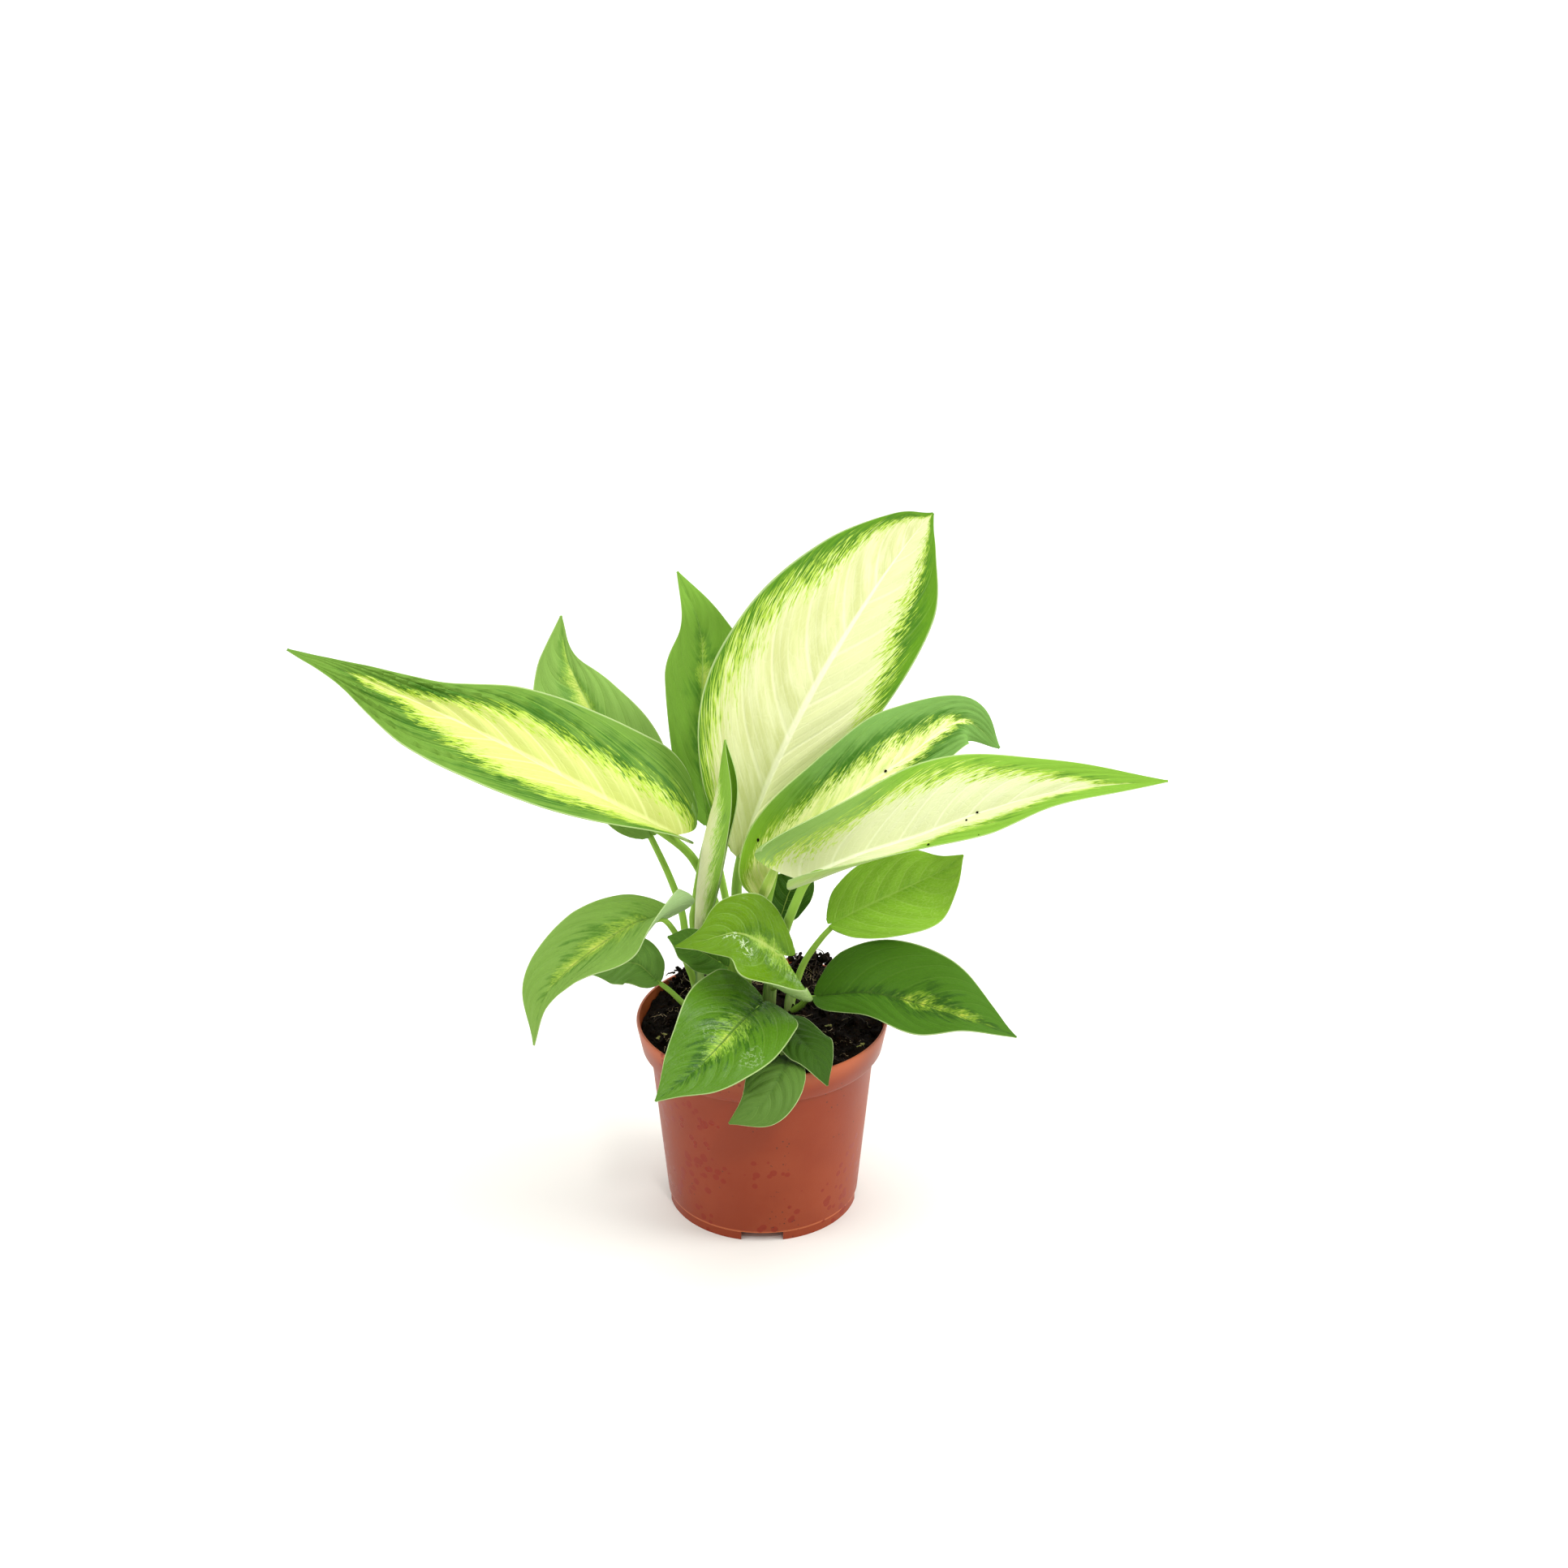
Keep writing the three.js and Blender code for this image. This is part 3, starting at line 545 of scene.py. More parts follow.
    # Gloss and relief
    wet = noiseAt(tree, place, leafFinish["wetScale"], 3)
    join(tree, shader.inputs["Roughness"], spread(tree, wet, 0.3, 0.75, look["gloss"], look["gloss"] + 0.16))
    raised = plus(tree, times(tree, veins["Vein Lines"], leafFinish["veinDepth"]),
                  times(tree, veins["Net"], leafFinish["netDepth"]))
    relief = times(tree, raised, minus(tree, 1.0, stalk))
    relief = plus(tree, relief, times(tree, wet, leafFinish["wetHeight"]))
    relief = plus(tree, relief, times(tree, noiseAt(tree, place, leafFinish["dentScale"], 2), look["dents"]))
    join(tree, shader.inputs["Normal"], bumpFrom(tree, relief, *leafFinish["bump"]))
    return material


# Leaves. Points are in millimetres: the stalk's from the stem to the blade, then the rib's from base to tip.
# faces: where the upper side looks. half: widths of both halves. lift, curl: their slope and bend, degrees.
# creamLeft, creamRight: how far the cream reaches, plus creamOffset, at places along the leaf.
# ragged, flecks, soft: the torn edge of the cream. stain and shade: greenish share of the cream on either
# half, a larger share on one half being partly painted shade.
# the places of the painted highlights, laid on in curled traces: across, along, their half sizes and
# strength. A leaf's own values stand in for the plain ones.

plainLeaf = {
    "sweep": 0.25, "wave": 1.0, "waves": 5, "lobe": [3, 3], "baseShare": 0.15, "thick": [1.8, 1.3],
    "lift": [[20, 14, 8], [20, 14, 8]], "curl": [[-10, -10, -5], [-10, -10, -5]],
    "stations": 90, "lanes": 36, "quilt": 0.45, "creamLeft": [(0.0, 0.0)], "creamRight": [(0.0, 0.0)],
    "veins": 9, "lean": 0.34, "ribWidth": 0.04, "ragged": 0.5, "flecks": 0.55, "soft": 0.28, "deepTo": 0.0,
    "stain": [0.15, 0.15], "cream": False, "variety": 1.2, "dents": 0.0, "baseTint": 0.0, "highlightPlaces": [],
    "net": 0.12, "lines": 0.28, "ribShow": 0.7, "underGrey": 0.6, "gloss": 0.38, "shine": 0.1, "shades": {},
}
creamLeaf = {"cream": True, "ribWidth": 0.05, "flecks": 1.0, "soft": 0.22}

leaves = {
    "leaf_top": {
        **creamLeaf,
        "thick": [3.2, 2.2],
        "stalk": [[-10, 16, 112], [-10, 19, 132], [-12, 18, 156]],
        "rib": [[-10, 16, 176], [8, 24, 219], [27, 32, 256], [50, 43, 292], [68, 51, 316], [78, 54, 327]],
        "faces": [[-0.1, -0.92, 0.35], [-0.2, -0.85, 0.48], [-0.3, -0.8, 0.55]],
        "half": [[12, 43, 45, 32, 15, 0.4], [9, 24, 33, 30, 13, 0.4]],
        "lift": [[25, 18, 8], [8, -6, 0]],
        "veins": 8, "ragged": 0.36, "net": 0.05, "lines": 0.3, "quilt": 0.7,
        # The left half's larger stain share is partly painted shade on that half, which tilts away from the
        # light
        "stain": [0.6, 0.15], "deepTo": -0.1,
        "creamLeft": [
            (0, 1.08), (0.2, 1.14), (0.4, 1.12), (0.55, 1.02),
            (0.75, 0.98), (0.88, 0.85), (0.96, 0.5), (1, 0.1),
        ],
        "creamRight": [
            (0, 1.24), (0.3, 1.24), (0.42, 1.05), (0.55, 0.9),
            (0.75, 0.86), (0.9, 0.85), (0.96, 0.55), (1, 0.2),
        ],
        "shades": {
            "cream": (217, 221, 164), "stain": (190, 196, 118), "creamVein": (248, 249, 212),
            "green": (90, 138, 26), "deep": (62, 112, 26), "bright": (176, 206, 70),
            "stalk": (150, 186, 84),
        },
    },
    "leaf_left": {
        **creamLeaf,
        "thick": [2.6, 2.0],
        "stalk": [[-9, 16.5, 100], [-16, 13, 122], [-19, 15, 138], [-25, 18, 155], [-33, 15, 174]],
        "rib": [
            [-41, 10, 187], [-73, -2, 211], [-109, -12, 238],
            [-142, -18, 259], [-177, -23, 278], [-202, -24, 289],
        ],
        "faces": [[0.2, -0.6, 0.7], [0.3, -0.7, 0.6], [0.2, -0.7, 0.65]],
        "half": [[24, 31, 33, 26, 8, 0.4], [38, 38, 29, 14, 5, 0.4]],
        "lift": [[70, 30, 10], [15, 0, 0]], "lobe": [8, 10], "baseShare": 0.4,
        "lean": 0.42, "ribWidth": 0.06, "ragged": 0.4, "net": 0.04, "lines": 0.45, "quilt": 1.5,
        "variety": 1.8,
        "creamLeft": [
            (0, 1.05), (0.1, 1.0), (0.22, 0.86), (0.35, 0.92),
            (0.5, 0.78), (0.64, 0.6), (0.76, 0.38), (0.84, 0.0),
        ],
        "creamRight": [
            (0, 0.66), (0.15, 0.72), (0.35, 0.8), (0.55, 0.76), (0.68, 0.54), (0.78, 0.34), (0.84, 0.0),
        ],
        "shades": {
            "cream": (198, 205, 118), "stain": (186, 200, 98), "creamVein": (240, 244, 176),
            "green": (103, 142, 50), "deep": (62, 110, 28), "bright": (176, 206, 64),
        },
    },
    "leaf_back_left": {
        "thick": [2.0, 1.5],
        "stalk": [[-31, 8, 104], [-35.5, 12, 124], [-38, 16, 144], [-44, 20, 162]],
        "rib": [[-53, 24, 183], [-66, 33, 212], [-80, 38, 240], [-89, 36, 264], [-90, 28, 287]],
        "faces": [[0.4, -0.75, 0.5], [0.45, -0.85, 0.3], [0.3, -0.9, -0.2]],
        "half": [[18, 27, 29, 15, 0.4], [18, 23, 15, 4, 0.4]],
        "veins": 7,
        "creamLeft": [(0, 0.0), (0.3, 0.3), (0.5, 0.5), (0.7, 0.4), (1, 0.1)],
        "creamRight": [(0, 0.0), (0.3, 0.2), (0.5, 0.3), (0.7, 0.2), (1, 0.2)],
        "shades": {
            "green": (134, 172, 80), "deep": (104, 148, 58), "cream": (196, 212, 100),
            "bright": (150, 186, 72), "rib": (156, 192, 96),
        },
    },
    "leaf_back": {
        "thick": [2.2, 1.6],
        "stalk": [[-9, 17, 96], [-13, 26, 120], [-20, 38, 153]],
        "rib": [[-26, 44, 180], [-30, 50, 211], [-28, 56, 246], [-29, 56, 273], [-38, 46, 302]],
        "faces": [[0.15, -0.95, 0.2], [0.05, -0.98, 0.1], [0.4, -0.9, -0.2]],
        "half": [[8, 13, 18, 9, 0.4], [10, 22, 24, 12, 0.4]],
        "veins": 7,
        "creamLeft": [(0, 0.0), (0.4, 0.2), (0.55, 0.35), (0.7, 0.2), (1, 0.0)],
        "creamRight": [(0, 0.0), (0.35, 0.25), (0.5, 0.42), (0.65, 0.32), (0.8, 0.0)],
        "shades": {
            "green": (124, 170, 60), "deep": (88, 138, 44), "cream": (186, 206, 92),
            "bright": (146, 186, 66), "rib": (156, 192, 96),
        },
    },
    "leaf_arching": {
        **creamLeaf,
        "thick": [2.8, 2.0],
        "stalk": [[-9, 16, 104], [-4, 9, 126], [0, 5, 144]],
        "rib": [[2, 4, 160], [11, 5, 184], [36, 7, 204], [64, 12, 223], [91, 18, 240], [109, 16, 228]],
        "faces": [[-0.6, -0.7, 0.2], [-0.4, -0.8, 0.4], [-0.3, -0.8, 0.5]],
        "half": [[21, 22, 24, 24, 12, 0.4], [15, 16, 17, 15, 11, 0.4]],
        "lift": [[20, 20, 10, 0], [20, 20, 10, 5]], "curl": [[110, 40, -10, -10], [110, 60, 0, -10]],
        "lean": 0.42, "quilt": 0.7, "stain": [0.7, 0.7], "baseTint": 0.85,
        "creamLeft": [(0, 1.0), (0.2, 0.7), (0.4, 0.7), (0.6, 0.68), (0.75, 0.52), (0.85, 0.25), (1, 0.0)],
        "creamRight": [(0, 1.1), (0.2, 0.85), (0.45, 0.64), (0.65, 0.58), (0.8, 0.34), (0.9, 0.0)],
        "shades": {
            "cream": (255, 255, 186), "stain": (206, 226, 110), "creamVein": (255, 255, 214),
            "green": (112, 156, 74), "deep": (66, 116, 34), "bright": (176, 206, 70),
            "under": (176, 200, 96),
        },
    },
    "leaf_right": {
        **creamLeaf,
        "thick": [2.6, 2.0],
        "stalk": [[4, 16, 108], [9, 5, 134], [15, -12, 161]],
        "rib": [
            [18, -21, 178.5], [43, -25, 192.5], [70, -25, 202],
            [98, -24, 213], [133, -25, 224], [179, -26, 229],
        ],
        "faces": [[-0.35, -0.7, 0.6], [-0.35, -0.75, 0.55], [-0.2, -0.7, 0.7]],
        "half": [[36, 27, 31, 27, 14, 0.4], [14, 18, 18, 17, 10, 0.4]],
        "lift": [[-8, 5, 0], [20, 50, 35]], "curl": [[135, -5, 0], [120, -10, -10]],
        "lobe": [14, 5], "baseShare": 0.85,
        "lean": 0.4, "ragged": 0.4, "net": 0.04, "quilt": 0.7, "deepTo": -0.25, "baseTint": 0.7,
        "creamLeft": [
            (0, 0.7), (0.12, 0.74), (0.3, 0.96), (0.5, 1.04),
            (0.7, 0.92), (0.82, 0.68), (0.92, 0.3), (1, 0),
        ],
        "creamRight": [
            (0, 1.1), (0.22, 1.25), (0.36, 0.98), (0.46, 0.74),
            (0.58, 0.8), (0.72, 0.8), (0.85, 0.5), (0.95, 0.0),
        ],
        "shades": {
            "cream": (208, 213, 164), "stain": (196, 210, 120), "creamVein": (246, 248, 216),
            "green": (122, 168, 50), "deep": (70, 120, 30), "bright": (180, 208, 74),
            "under": (146, 172, 104), "base": (150, 184, 108),
        },
    },
    "leaf_right_small": {
        "stalk": [[13.5, 13, 96], [19, 12, 117], [27, 12, 131]],
        "rib": [[34, 12, 141], [50, 12, 150], [69, 14, 159], [84, 14, 167], [94, 12, 176]],
        "faces": [[-0.35, -0.7, 0.6], [-0.1, -0.9, 0.35], [-0.4, -0.85, 0.3]],
        "half": [[10, 19, 18, 8, 0.4], [8, 19, 22, 12, 0.4]],
        "veins": 7, "net": 0.45, "lines": 0.4, "ribShow": 0.6,
        "shades": {
            "green": (128, 174, 45), "deep": (104, 154, 38), "rib": (160, 196, 84), "vein": (156, 194, 84),
        },
    },
    "leaf_right_low": {
        "stalk": [[13, 13, 92], [18, 8, 98], [22, 4, 104]],
        "rib": [[27, 0, 108], [50, -12, 116], [72, -24, 117], [94, -34, 115], [117, -40, 108]],
        "faces": [[-0.4, -0.4, 0.8], [-0.15, -0.4, 0.9], [0.3, -0.1, 0.95]],
        "half": [[16, 28, 26, 17, 0.4], [10, 14, 19, 11, 0.4]],
        "veins": 8, "ragged": 0.7, "net": 0.06, "lines": 0.3, "variety": 2.0, "ribWidth": 0.03,
        "creamLeft": [(0, 0.0), (0.35, 0.16), (0.5, 0.3), (0.64, 0.33), (0.8, 0.3), (0.95, 0.1)],
        "creamRight": [(0, 0.0), (0.35, 0.16), (0.5, 0.3), (0.64, 0.33), (0.8, 0.3), (0.95, 0.1)],
        "shades": {
            "green": (66, 108, 19), "deep": (42, 80, 13), "cream": (176, 186, 62),
            "bright": (104, 140, 32), "vein": (92, 130, 44), "rib": (58, 88, 28),
        },
    },
    "leaf_left_low": {
        "stalk": [[-31, 8, 108], [-36, 2, 126], [-39, -6, 142]],
        "rib": [
            [-43, -11, 155], [-57, -16, 155], [-72, -21, 147],
            [-89, -24, 134], [-101, -26, 119], [-106, -28, 97],
        ],
        "faces": [[0.1, -0.15, 1], [-0.35, -0.55, 0.76], [-0.7, -0.7, 0.2]],
        "half": [[19, 19, 16, 8, 4, 0.4], [8, 18, 22, 20, 12, 0.4]],
        "lift": [[80, 16, 12, 10, 8], [20, 14, 8]], "curl": [[20, -10, -10, -10, -5], [-10, -10, -5]],
        "lobe": [12, 4], "baseShare": 0.7,
        "veins": 8, "lean": 0.4, "quilt": 0.7, "ribShow": 0.5, "variety": 2.0,
        "creamLeft": [(0, 0.1), (0.2, 0.26), (0.35, 0.38), (0.5, 0.38), (0.65, 0.28), (0.8, 0.0)],
        "creamRight": [(0, 0.1), (0.2, 0.26), (0.38, 0.4), (0.55, 0.38), (0.7, 0.28), (0.85, 0.0)],
        "shades": {
            "green": (122, 160, 68), "deep": (84, 128, 40), "cream": (192, 208, 84),
            "bright": (146, 180, 64), "rib": (84, 120, 50), "under": (164, 188, 140),
        },
    },
    "leaf_left_behind": {
        "thick": [1.6, 1.1],
        "stalk": [[-30.2, 7, 94], [-37, 4, 101], [-44, 5, 108]],
        "rib": [[-51, 6, 114], [-60, 8, 121], [-71, 9, 119], [-83, 8, 116]],
        "faces": [[0, -0.6, 0.8], [-0.1, -0.6, 0.8], [-0.3, -0.6, 0.7]],
        "half": [[8, 13, 9, 0.4], [8, 13, 9, 0.4]],
        "veins": 6, "ribShow": 0.25,
        "shades": {"green": (106, 146, 64), "deep": (82, 122, 46)},
    },
    "leaf_spear": {
        **creamLeaf,
        "thick": [2.6, 2.0],
        "stalk": [[-31, 8, 112], [-31, 8, 128]],
        "rib": [[-31, 7, 142], [-29, 4, 165], [-25, 1, 191], [-19, -1, 216], [-16, -2, 239]],
        "faces": [[0.7, -0.7, 0.0], [0.7, -0.7, 0.0], [0.7, -0.7, 0.1]],
        "half": [[9, 16, 18, 13, 0.4], [8, 15, 15, 10, 0.4]],
        "lift": [[15, 15, 15], [15, 15, 15]], "curl": [[150, 140, 110], [150, 130, 60]], "wave": 0,
        "lean": 0.5, "ragged": 0.3, "underGrey": 0.12, "quilt": 0.1, "deepTo": -0.35,
        "creamLeft": [(0, 1.1), (0.3, 1.08), (0.55, 1.02), (0.7, 0.94), (0.85, 0.6), (1, 0.3)],
        "creamRight": [(0, 0.3), (0.4, 0.46), (0.8, 0.36), (1, 0.1)],
        "shades": {
            "cream": (206, 210, 160), "stain": (184, 198, 124), "creamVein": (206, 212, 160),
            "green": (112, 160, 36), "under": (168, 186, 120),
        },
    },
    "leaf_curled": {
        "stalk": [[4, 16, 103], [10, 5, 115], [12, -9, 127]],
        "rib": [[10, -16, 138], [-2, -20, 148], [-12, -23, 153], [-25, -26, 151], [-39, -27, 148]],
        "faces": [[0.2, -0.75, 0.6], [0.1, -0.75, 0.65], [0, -0.7, 0.7]],
        "half": [[33, 25, 14, 6, 0.4], [7, 19, 16, 6, 0.4]],
        "lift": [[-20, 0, 5], [20, 14, 8]], "curl": [[140, 20, 0], [-10, -10, -5]],
        "lobe": [20, 5], "baseShare": 0.75,
        "veins": 7, "ragged": 0.4, "gloss": 0.16, "shine": 0.2, "net": 0.06, "dents": 1.6, "ribShow": 0.5,
        # Painted highlights on this leaf
        "highlightPlaces": [(-0.12, 0.54, 0.2, 0.1, 0.75), (-0.3, 0.38, 0.24, 0.1, 0.75)],
        "creamLeft": [(0, 0.36), (0.15, 0.38), (0.3, 0.32), (0.45, 0.1), (0.6, 0.0)],
        "creamRight": [(0, 0.36), (0.15, 0.4), (0.3, 0.34), (0.45, 0.1), (0.6, 0.0)],
        "shades": {
            "green": (96, 136, 8), "deep": (74, 116, 8), "under": (160, 184, 124),
            "cream": (176, 196, 84), "bright": (132, 172, 50),
        },
    },
    "leaf_front": {
        "stalk": [[-1.5, -6, 98], [0, -12, 108]],
        "rib": [[0, -20, 115], [-10, -40, 115], [-21, -60, 112], [-33, -75, 107], [-46, -88, 103]],
        "faces": [[0.4, -0.35, 0.85], [0.25, -0.3, 0.9], [0, -0.3, 0.95]],
        "half": [[22, 25, 22, 12, 0.4], [24, 27, 20, 12, 0.4]],
        "lift": [[28, 18, 8], [20, 14, 8]],
        "veins": 8, "ragged": 0.6, "gloss": 0.2, "shine": 0.18, "net": 0.06, "quilt": 0.7, "variety": 2.6,
        "dents": 0.8, "ribWidth": 0.035,
        # Painted highlights on this leaf
        "highlightPlaces": [(-0.72, 0.42, 0.25, 0.1, 0.18), (0.3, 0.43, 0.2, 0.06, 0.2)],
        "creamLeft": [(0, 0.1), (0.2, 0.26), (0.36, 0.4), (0.5, 0.38), (0.64, 0.22), (0.8, 0.0)],
        "creamRight": [(0, 0.1), (0.2, 0.24), (0.36, 0.38), (0.5, 0.36), (0.64, 0.2), (0.8, 0.0)],
        "shades": {
            "green": (76, 118, 22), "deep": (46, 88, 14), "cream": (166, 190, 66),
            "bright": (118, 158, 46), "vein": (116, 152, 62), "rib": (50, 90, 28),
        },
    },
    "leaf_front_right": {
        "thick": [1.5, 1.1],
        "stalk": [[-1.5, -7, 96], [4, -12, 102]],
        "rib": [[9, -18, 106], [17, -36, 106], [24, -50, 104], [30, -63, 96]],
        "lift": [[5, 5, 5], [5, 5, 5]],
        "faces": [[0.2, -0.4, 0.9], [0.2, -0.4, 0.9], [0.2, -0.4, 0.9]],
        "half": [[8, 13, 9, 0.4], [8, 13, 9, 0.4]],
        "veins": 7, "net": 0.06, "ribShow": 0.3,
        "shades": {
            "green": (48, 80, 15), "deep": (34, 64, 11), "vein": (78, 112, 36), "rib": (70, 100, 40),
        },
    },
    "leaf_front_low": {
        "thick": [1.5, 1.1],
        "stalk": [[-2, -7, 90], [3, -24, 95], [9, -36, 98]],
        "rib": [[12, -45, 100], [9, -61, 101], [1, -76, 95], [-14, -84, 89]],
        "faces": [[-0.1, -0.5, 0.85], [-0.1, -0.6, 0.8], [0, -0.8, 0.6]],
        "half": [[5, 12, 11, 0.4], [7, 14, 10, 0.4]],
        "lift": [[0, 0, 0], [0, 0, 0]],
        "veins": 7, "net": 0.06, "ribShow": 0.3,
        "shades": {
            "green": (80, 112, 42), "deep": (60, 96, 30), "vein": (106, 140, 60), "rib": (80, 110, 50),
        },
    },
    "leaf_behind_stalk": {
        "thick": [1.5, 1.1],
        "stalk": [[3, 17, 100], [7, 22, 120]],
        "rib": [[9, 23, 139], [12, 23, 149], [15, 22, 159], [15, 19, 169]],
        "faces": [[0.1, -0.9, 0.3], [0.1, -0.9, 0.3], [0.1, -0.9, 0.3]],
        "half": [[7, 11, 9, 0.4], [7, 11, 9, 0.4]],
        "veins": 6,
        "shades": {"green": (54, 94, 22), "deep": (40, 76, 16)},
    },
    "leaf_tucked": {
        "thick": [1.5, 1.1],
        "stalk": [[-9, 15, 100], [-14, 3, 114]],
        "rib": [[-18, -6, 128], [-27, -10, 136], [-35, -14, 143], [-43, -17, 148]],
        "faces": [[-0.2, -0.7, 0.7], [-0.2, -0.7, 0.7], [-0.2, -0.7, 0.7]],
        "half": [[7, 10, 8, 0.4], [6, 9, 7, 0.4]],
        "veins": 6, "ribShow": 0.3,
        "shades": {"green": (80, 124, 38), "deep": (60, 104, 28)},
    },
}

bladeShape = {
    "baseRound": 0.1, "tipHalfWidth": 0.6, "fullWaveWidth": 12, "thickness": 0.7, "marginThickness": 0.45,
    "ribPlaces": (0.02, 0.1, 0.2, 0.3, 0.4, 0.5), "ribEndRadius": 0.55, "ribSink": 0.2,
    "stalkSides": 18, "stalkSteps": 10,
    "groove": 0.35, "grooveWidth": 1.6, "lobeTurn": 0.85 * math.pi, "lobePower": 5,
    "slopeStep": 0.01, "sharpAngle": 55,
}


def bladeStation(leaf, u):  # everything that is the same all across the leaf at u
    step = bladeShape["slopeStep"]
    forward = (along(leaf["rib"], min(1, u + step)) - along(leaf["rib"], max(0, u - step))).normalized()
    right = forward.cross(along(leaf["faces"], u)).normalized()
    halves = []
    for side in (0, 1):
        opened = math.sqrt(1 - (1 - min(u / bladeShape["baseRound"], 1)) ** 2)
        width = along(leaf["half"][side], u) * mixed(leaf["baseShare"], 1, opened)
        halves.append({
            "width": max(width, bladeShape["tipHalfWidth"]),
            "lift": math.radians(along(leaf["lift"][side], u)),
            "curl": math.radians(along(leaf["curl"][side], u)) or 1e-4,  # not 0: bladePoint divides by it
        })
    return {"u": u, "rib": along(leaf["rib"], u), "forward": forward, "right": right,
            "up": right.cross(forward), "halves": halves}


def bladePoint(leaf, station, s):
    side = 0 if s < 0 else 1
    reach, u, half = abs(s), station["u"], station["halves"][side]
    width, lift, curl = half["width"], half["lift"], half["curl"]
    end = lift + curl * reach
    ripple = math.sin(math.pi * leaf["waves"] * u + side * 2) * reach ** 2
    wide = min(1, width / bladeShape["fullWaveWidth"])
    wave = leaf["wave"] * ripple * wide
    out = width * (math.sin(end) - math.sin(lift)) / curl - wave * math.sin(end)
    rise = width * (math.cos(lift) - math.cos(end)) / curl + wave * math.cos(end)
    shift = leaf["sweep"] * width * reach ** 2 * 4 * u * (1 - u)
    nearBase = (1 - u) ** bladeShape["lobePower"]
    shift -= leaf["lobe"][side] * math.sin(bladeShape["lobeTurn"] * reach) * nearBase
    path = u - leaf["lean"] * (veinBend["near"] * reach + veinBend["far"] * reach ** veinBend["farPower"])
    turns = path * leaf["veins"] + veinBend["sideShift"] * side + 0.5
    veined = abs(math.sin(math.pi * turns))  # 1 on a vein, 0 between two
    fade = min(1, 5 * reach) * (1 - reach ** 6) * 4 * u * (1 - u) * wide
    groove = -bladeShape["groove"] * math.exp(-(reach * width / bladeShape["grooveWidth"]) ** 2) * (1 - u)
    rise += leaf["quilt"] * (1 - veined) * fade * 2 + groove
    sideways = station["right"] * (out if side else -out)
    return station["rib"] + sideways + station["up"] * rise + station["forward"] * shift


def makeBlade(bm, leaf):  # a grid bent into the leaf's middle surface, then both its sides
    lanes, steps = leaf["lanes"], leaf["stations"]
    layers = bm.verts.layers.float
    uLayer, sLayer, underLayer = layers["u"], layers["s"], layers["under"]
    rowLayer, laneLayer = layers["row"], layers["lane"]
    bmesh.ops.create_grid(bm, x_segments=lanes, y_segments=steps, size=1.0)
    middle, stationAt = {}, {}
    for vert in bm.verts:
        i = round((vert.co.y + 1) / 2 * steps)
        j = round((vert.co.x + 1) / 2 * lanes)
        t = i / steps
        u = 0.5 * t + 0.25 * (1 - math.cos(math.pi * t))  # rows lie closer at the base and the tip
        if i not in stationAt:
            stationAt[i] = bladeStation(leaf, u)
        s = 2 * j / lanes - 1
        vert[uLayer], vert[sLayer], vert[rowLayer], vert[laneLayer] = u, s, i, j
        middle[i, j] = bladePoint(leaf, stationAt[i], s)
    flat = bm.verts[:]
    every = bm.verts[:] + bm.edges[:] + bm.faces[:]
    grown = bmesh.ops.extrude_face_region(bm, geom=every, use_keep_orig=True)
    upper = {item for item in grown["geom"] if isinstance(item, bmesh.types.BMVert)}
    for vert in upper.union(flat):
        i, j = round(vert[rowLayer]), round(vert[laneLayer])
        lengthwise = middle[min(i + 1, steps), j] - middle[max(i - 1, 0), j]
        crosswise = middle[i, min(j + 1, lanes)] - middle[i, max(j - 1, 0)]
        thick = mixed(bladeShape["thickness"], bladeShape["marginThickness"], abs(vert[sLayer]) ** 3)
        normal = crosswise.cross(lengthwise).normalized() * thick / 2
        vert.co = middle[i, j] + (normal if vert in upper else -normal)
        vert[underLayer] = 0.0 if vert in upper else 1.0


def stalkRoute(leaf):  # up the stalk and on under the blade as its rib
    points = [Vector(point) for point in leaf["stalk"]]
    for u in bladeShape["ribPlaces"]:
        station = bladeStation(leaf, u)
        radius = mixed(leaf["thick"][1], bladeShape["ribEndRadius"], u / bladeShape["ribPlaces"][-1])
        points.append(station["rib"] - station["up"] * (bladeShape["ribSink"] + radius))
    joint = len(leaf["stalk"]) / (len(points) - 1)
    steps = (len(points) - 1) * bladeShape["stalkSteps"]
    centres, radii = [], []
    for i in range(steps + 1):
        t = i / steps
        centres.append(along([tuple(point) for point in points], t))
        if t < joint:
            radii.append(mixed(leaf["thick"][0], leaf["thick"][1], t / joint))
        else:
            radii.append(mixed(leaf["thick"][1], bladeShape["ribEndRadius"], (t - joint) / (1 - joint)))
    return centres, radii


def makeLeaf(node, ownValues, seed):
    leaf = {**plainLeaf, **ownValues}
    bm = bmesh.new()
    for layer in ("u", "s", "under", "stalk", "row", "lane", "turn"):
        bm.verts.layers.float.new(layer)
    makeBlade(bm, leaf)
    layers = bm.verts.layers.float
    centres, radii = stalkRoute(leaf)
    addTube(bm, centres, radii, bladeShape["stalkSides"], {layers["stalk"]: 1.0})
    bmesh.ops.recalc_face_normals(bm, faces=bm.faces)
    toMetres(bm)
    uv = bm.loops.layers.uv.new("leafMap")
    for face in bm.faces:
        for loop in face.loops:
            vert = loop.vert
            if vert[layers["stalk"]]:
                loop[uv].uv = (0.5 + 0.5 * math.cos(vert[layers["turn"]]), vert.co.z * 8 % 1)
            else:
                loop[uv].uv = (vert[layers["s"]] / 2 + 0.5, vert[layers["u"]])
    for layer in ("u", "s", "row", "lane", "turn"):
        bm.verts.layers.float.remove(bm.verts.layers.float[layer])
    name = pieceName(node)
    material = leafMaterial(name + "Finish", leaf, seed)
    finishPiece(name, bm, material, [node], bladeShape["sharpAngle"])


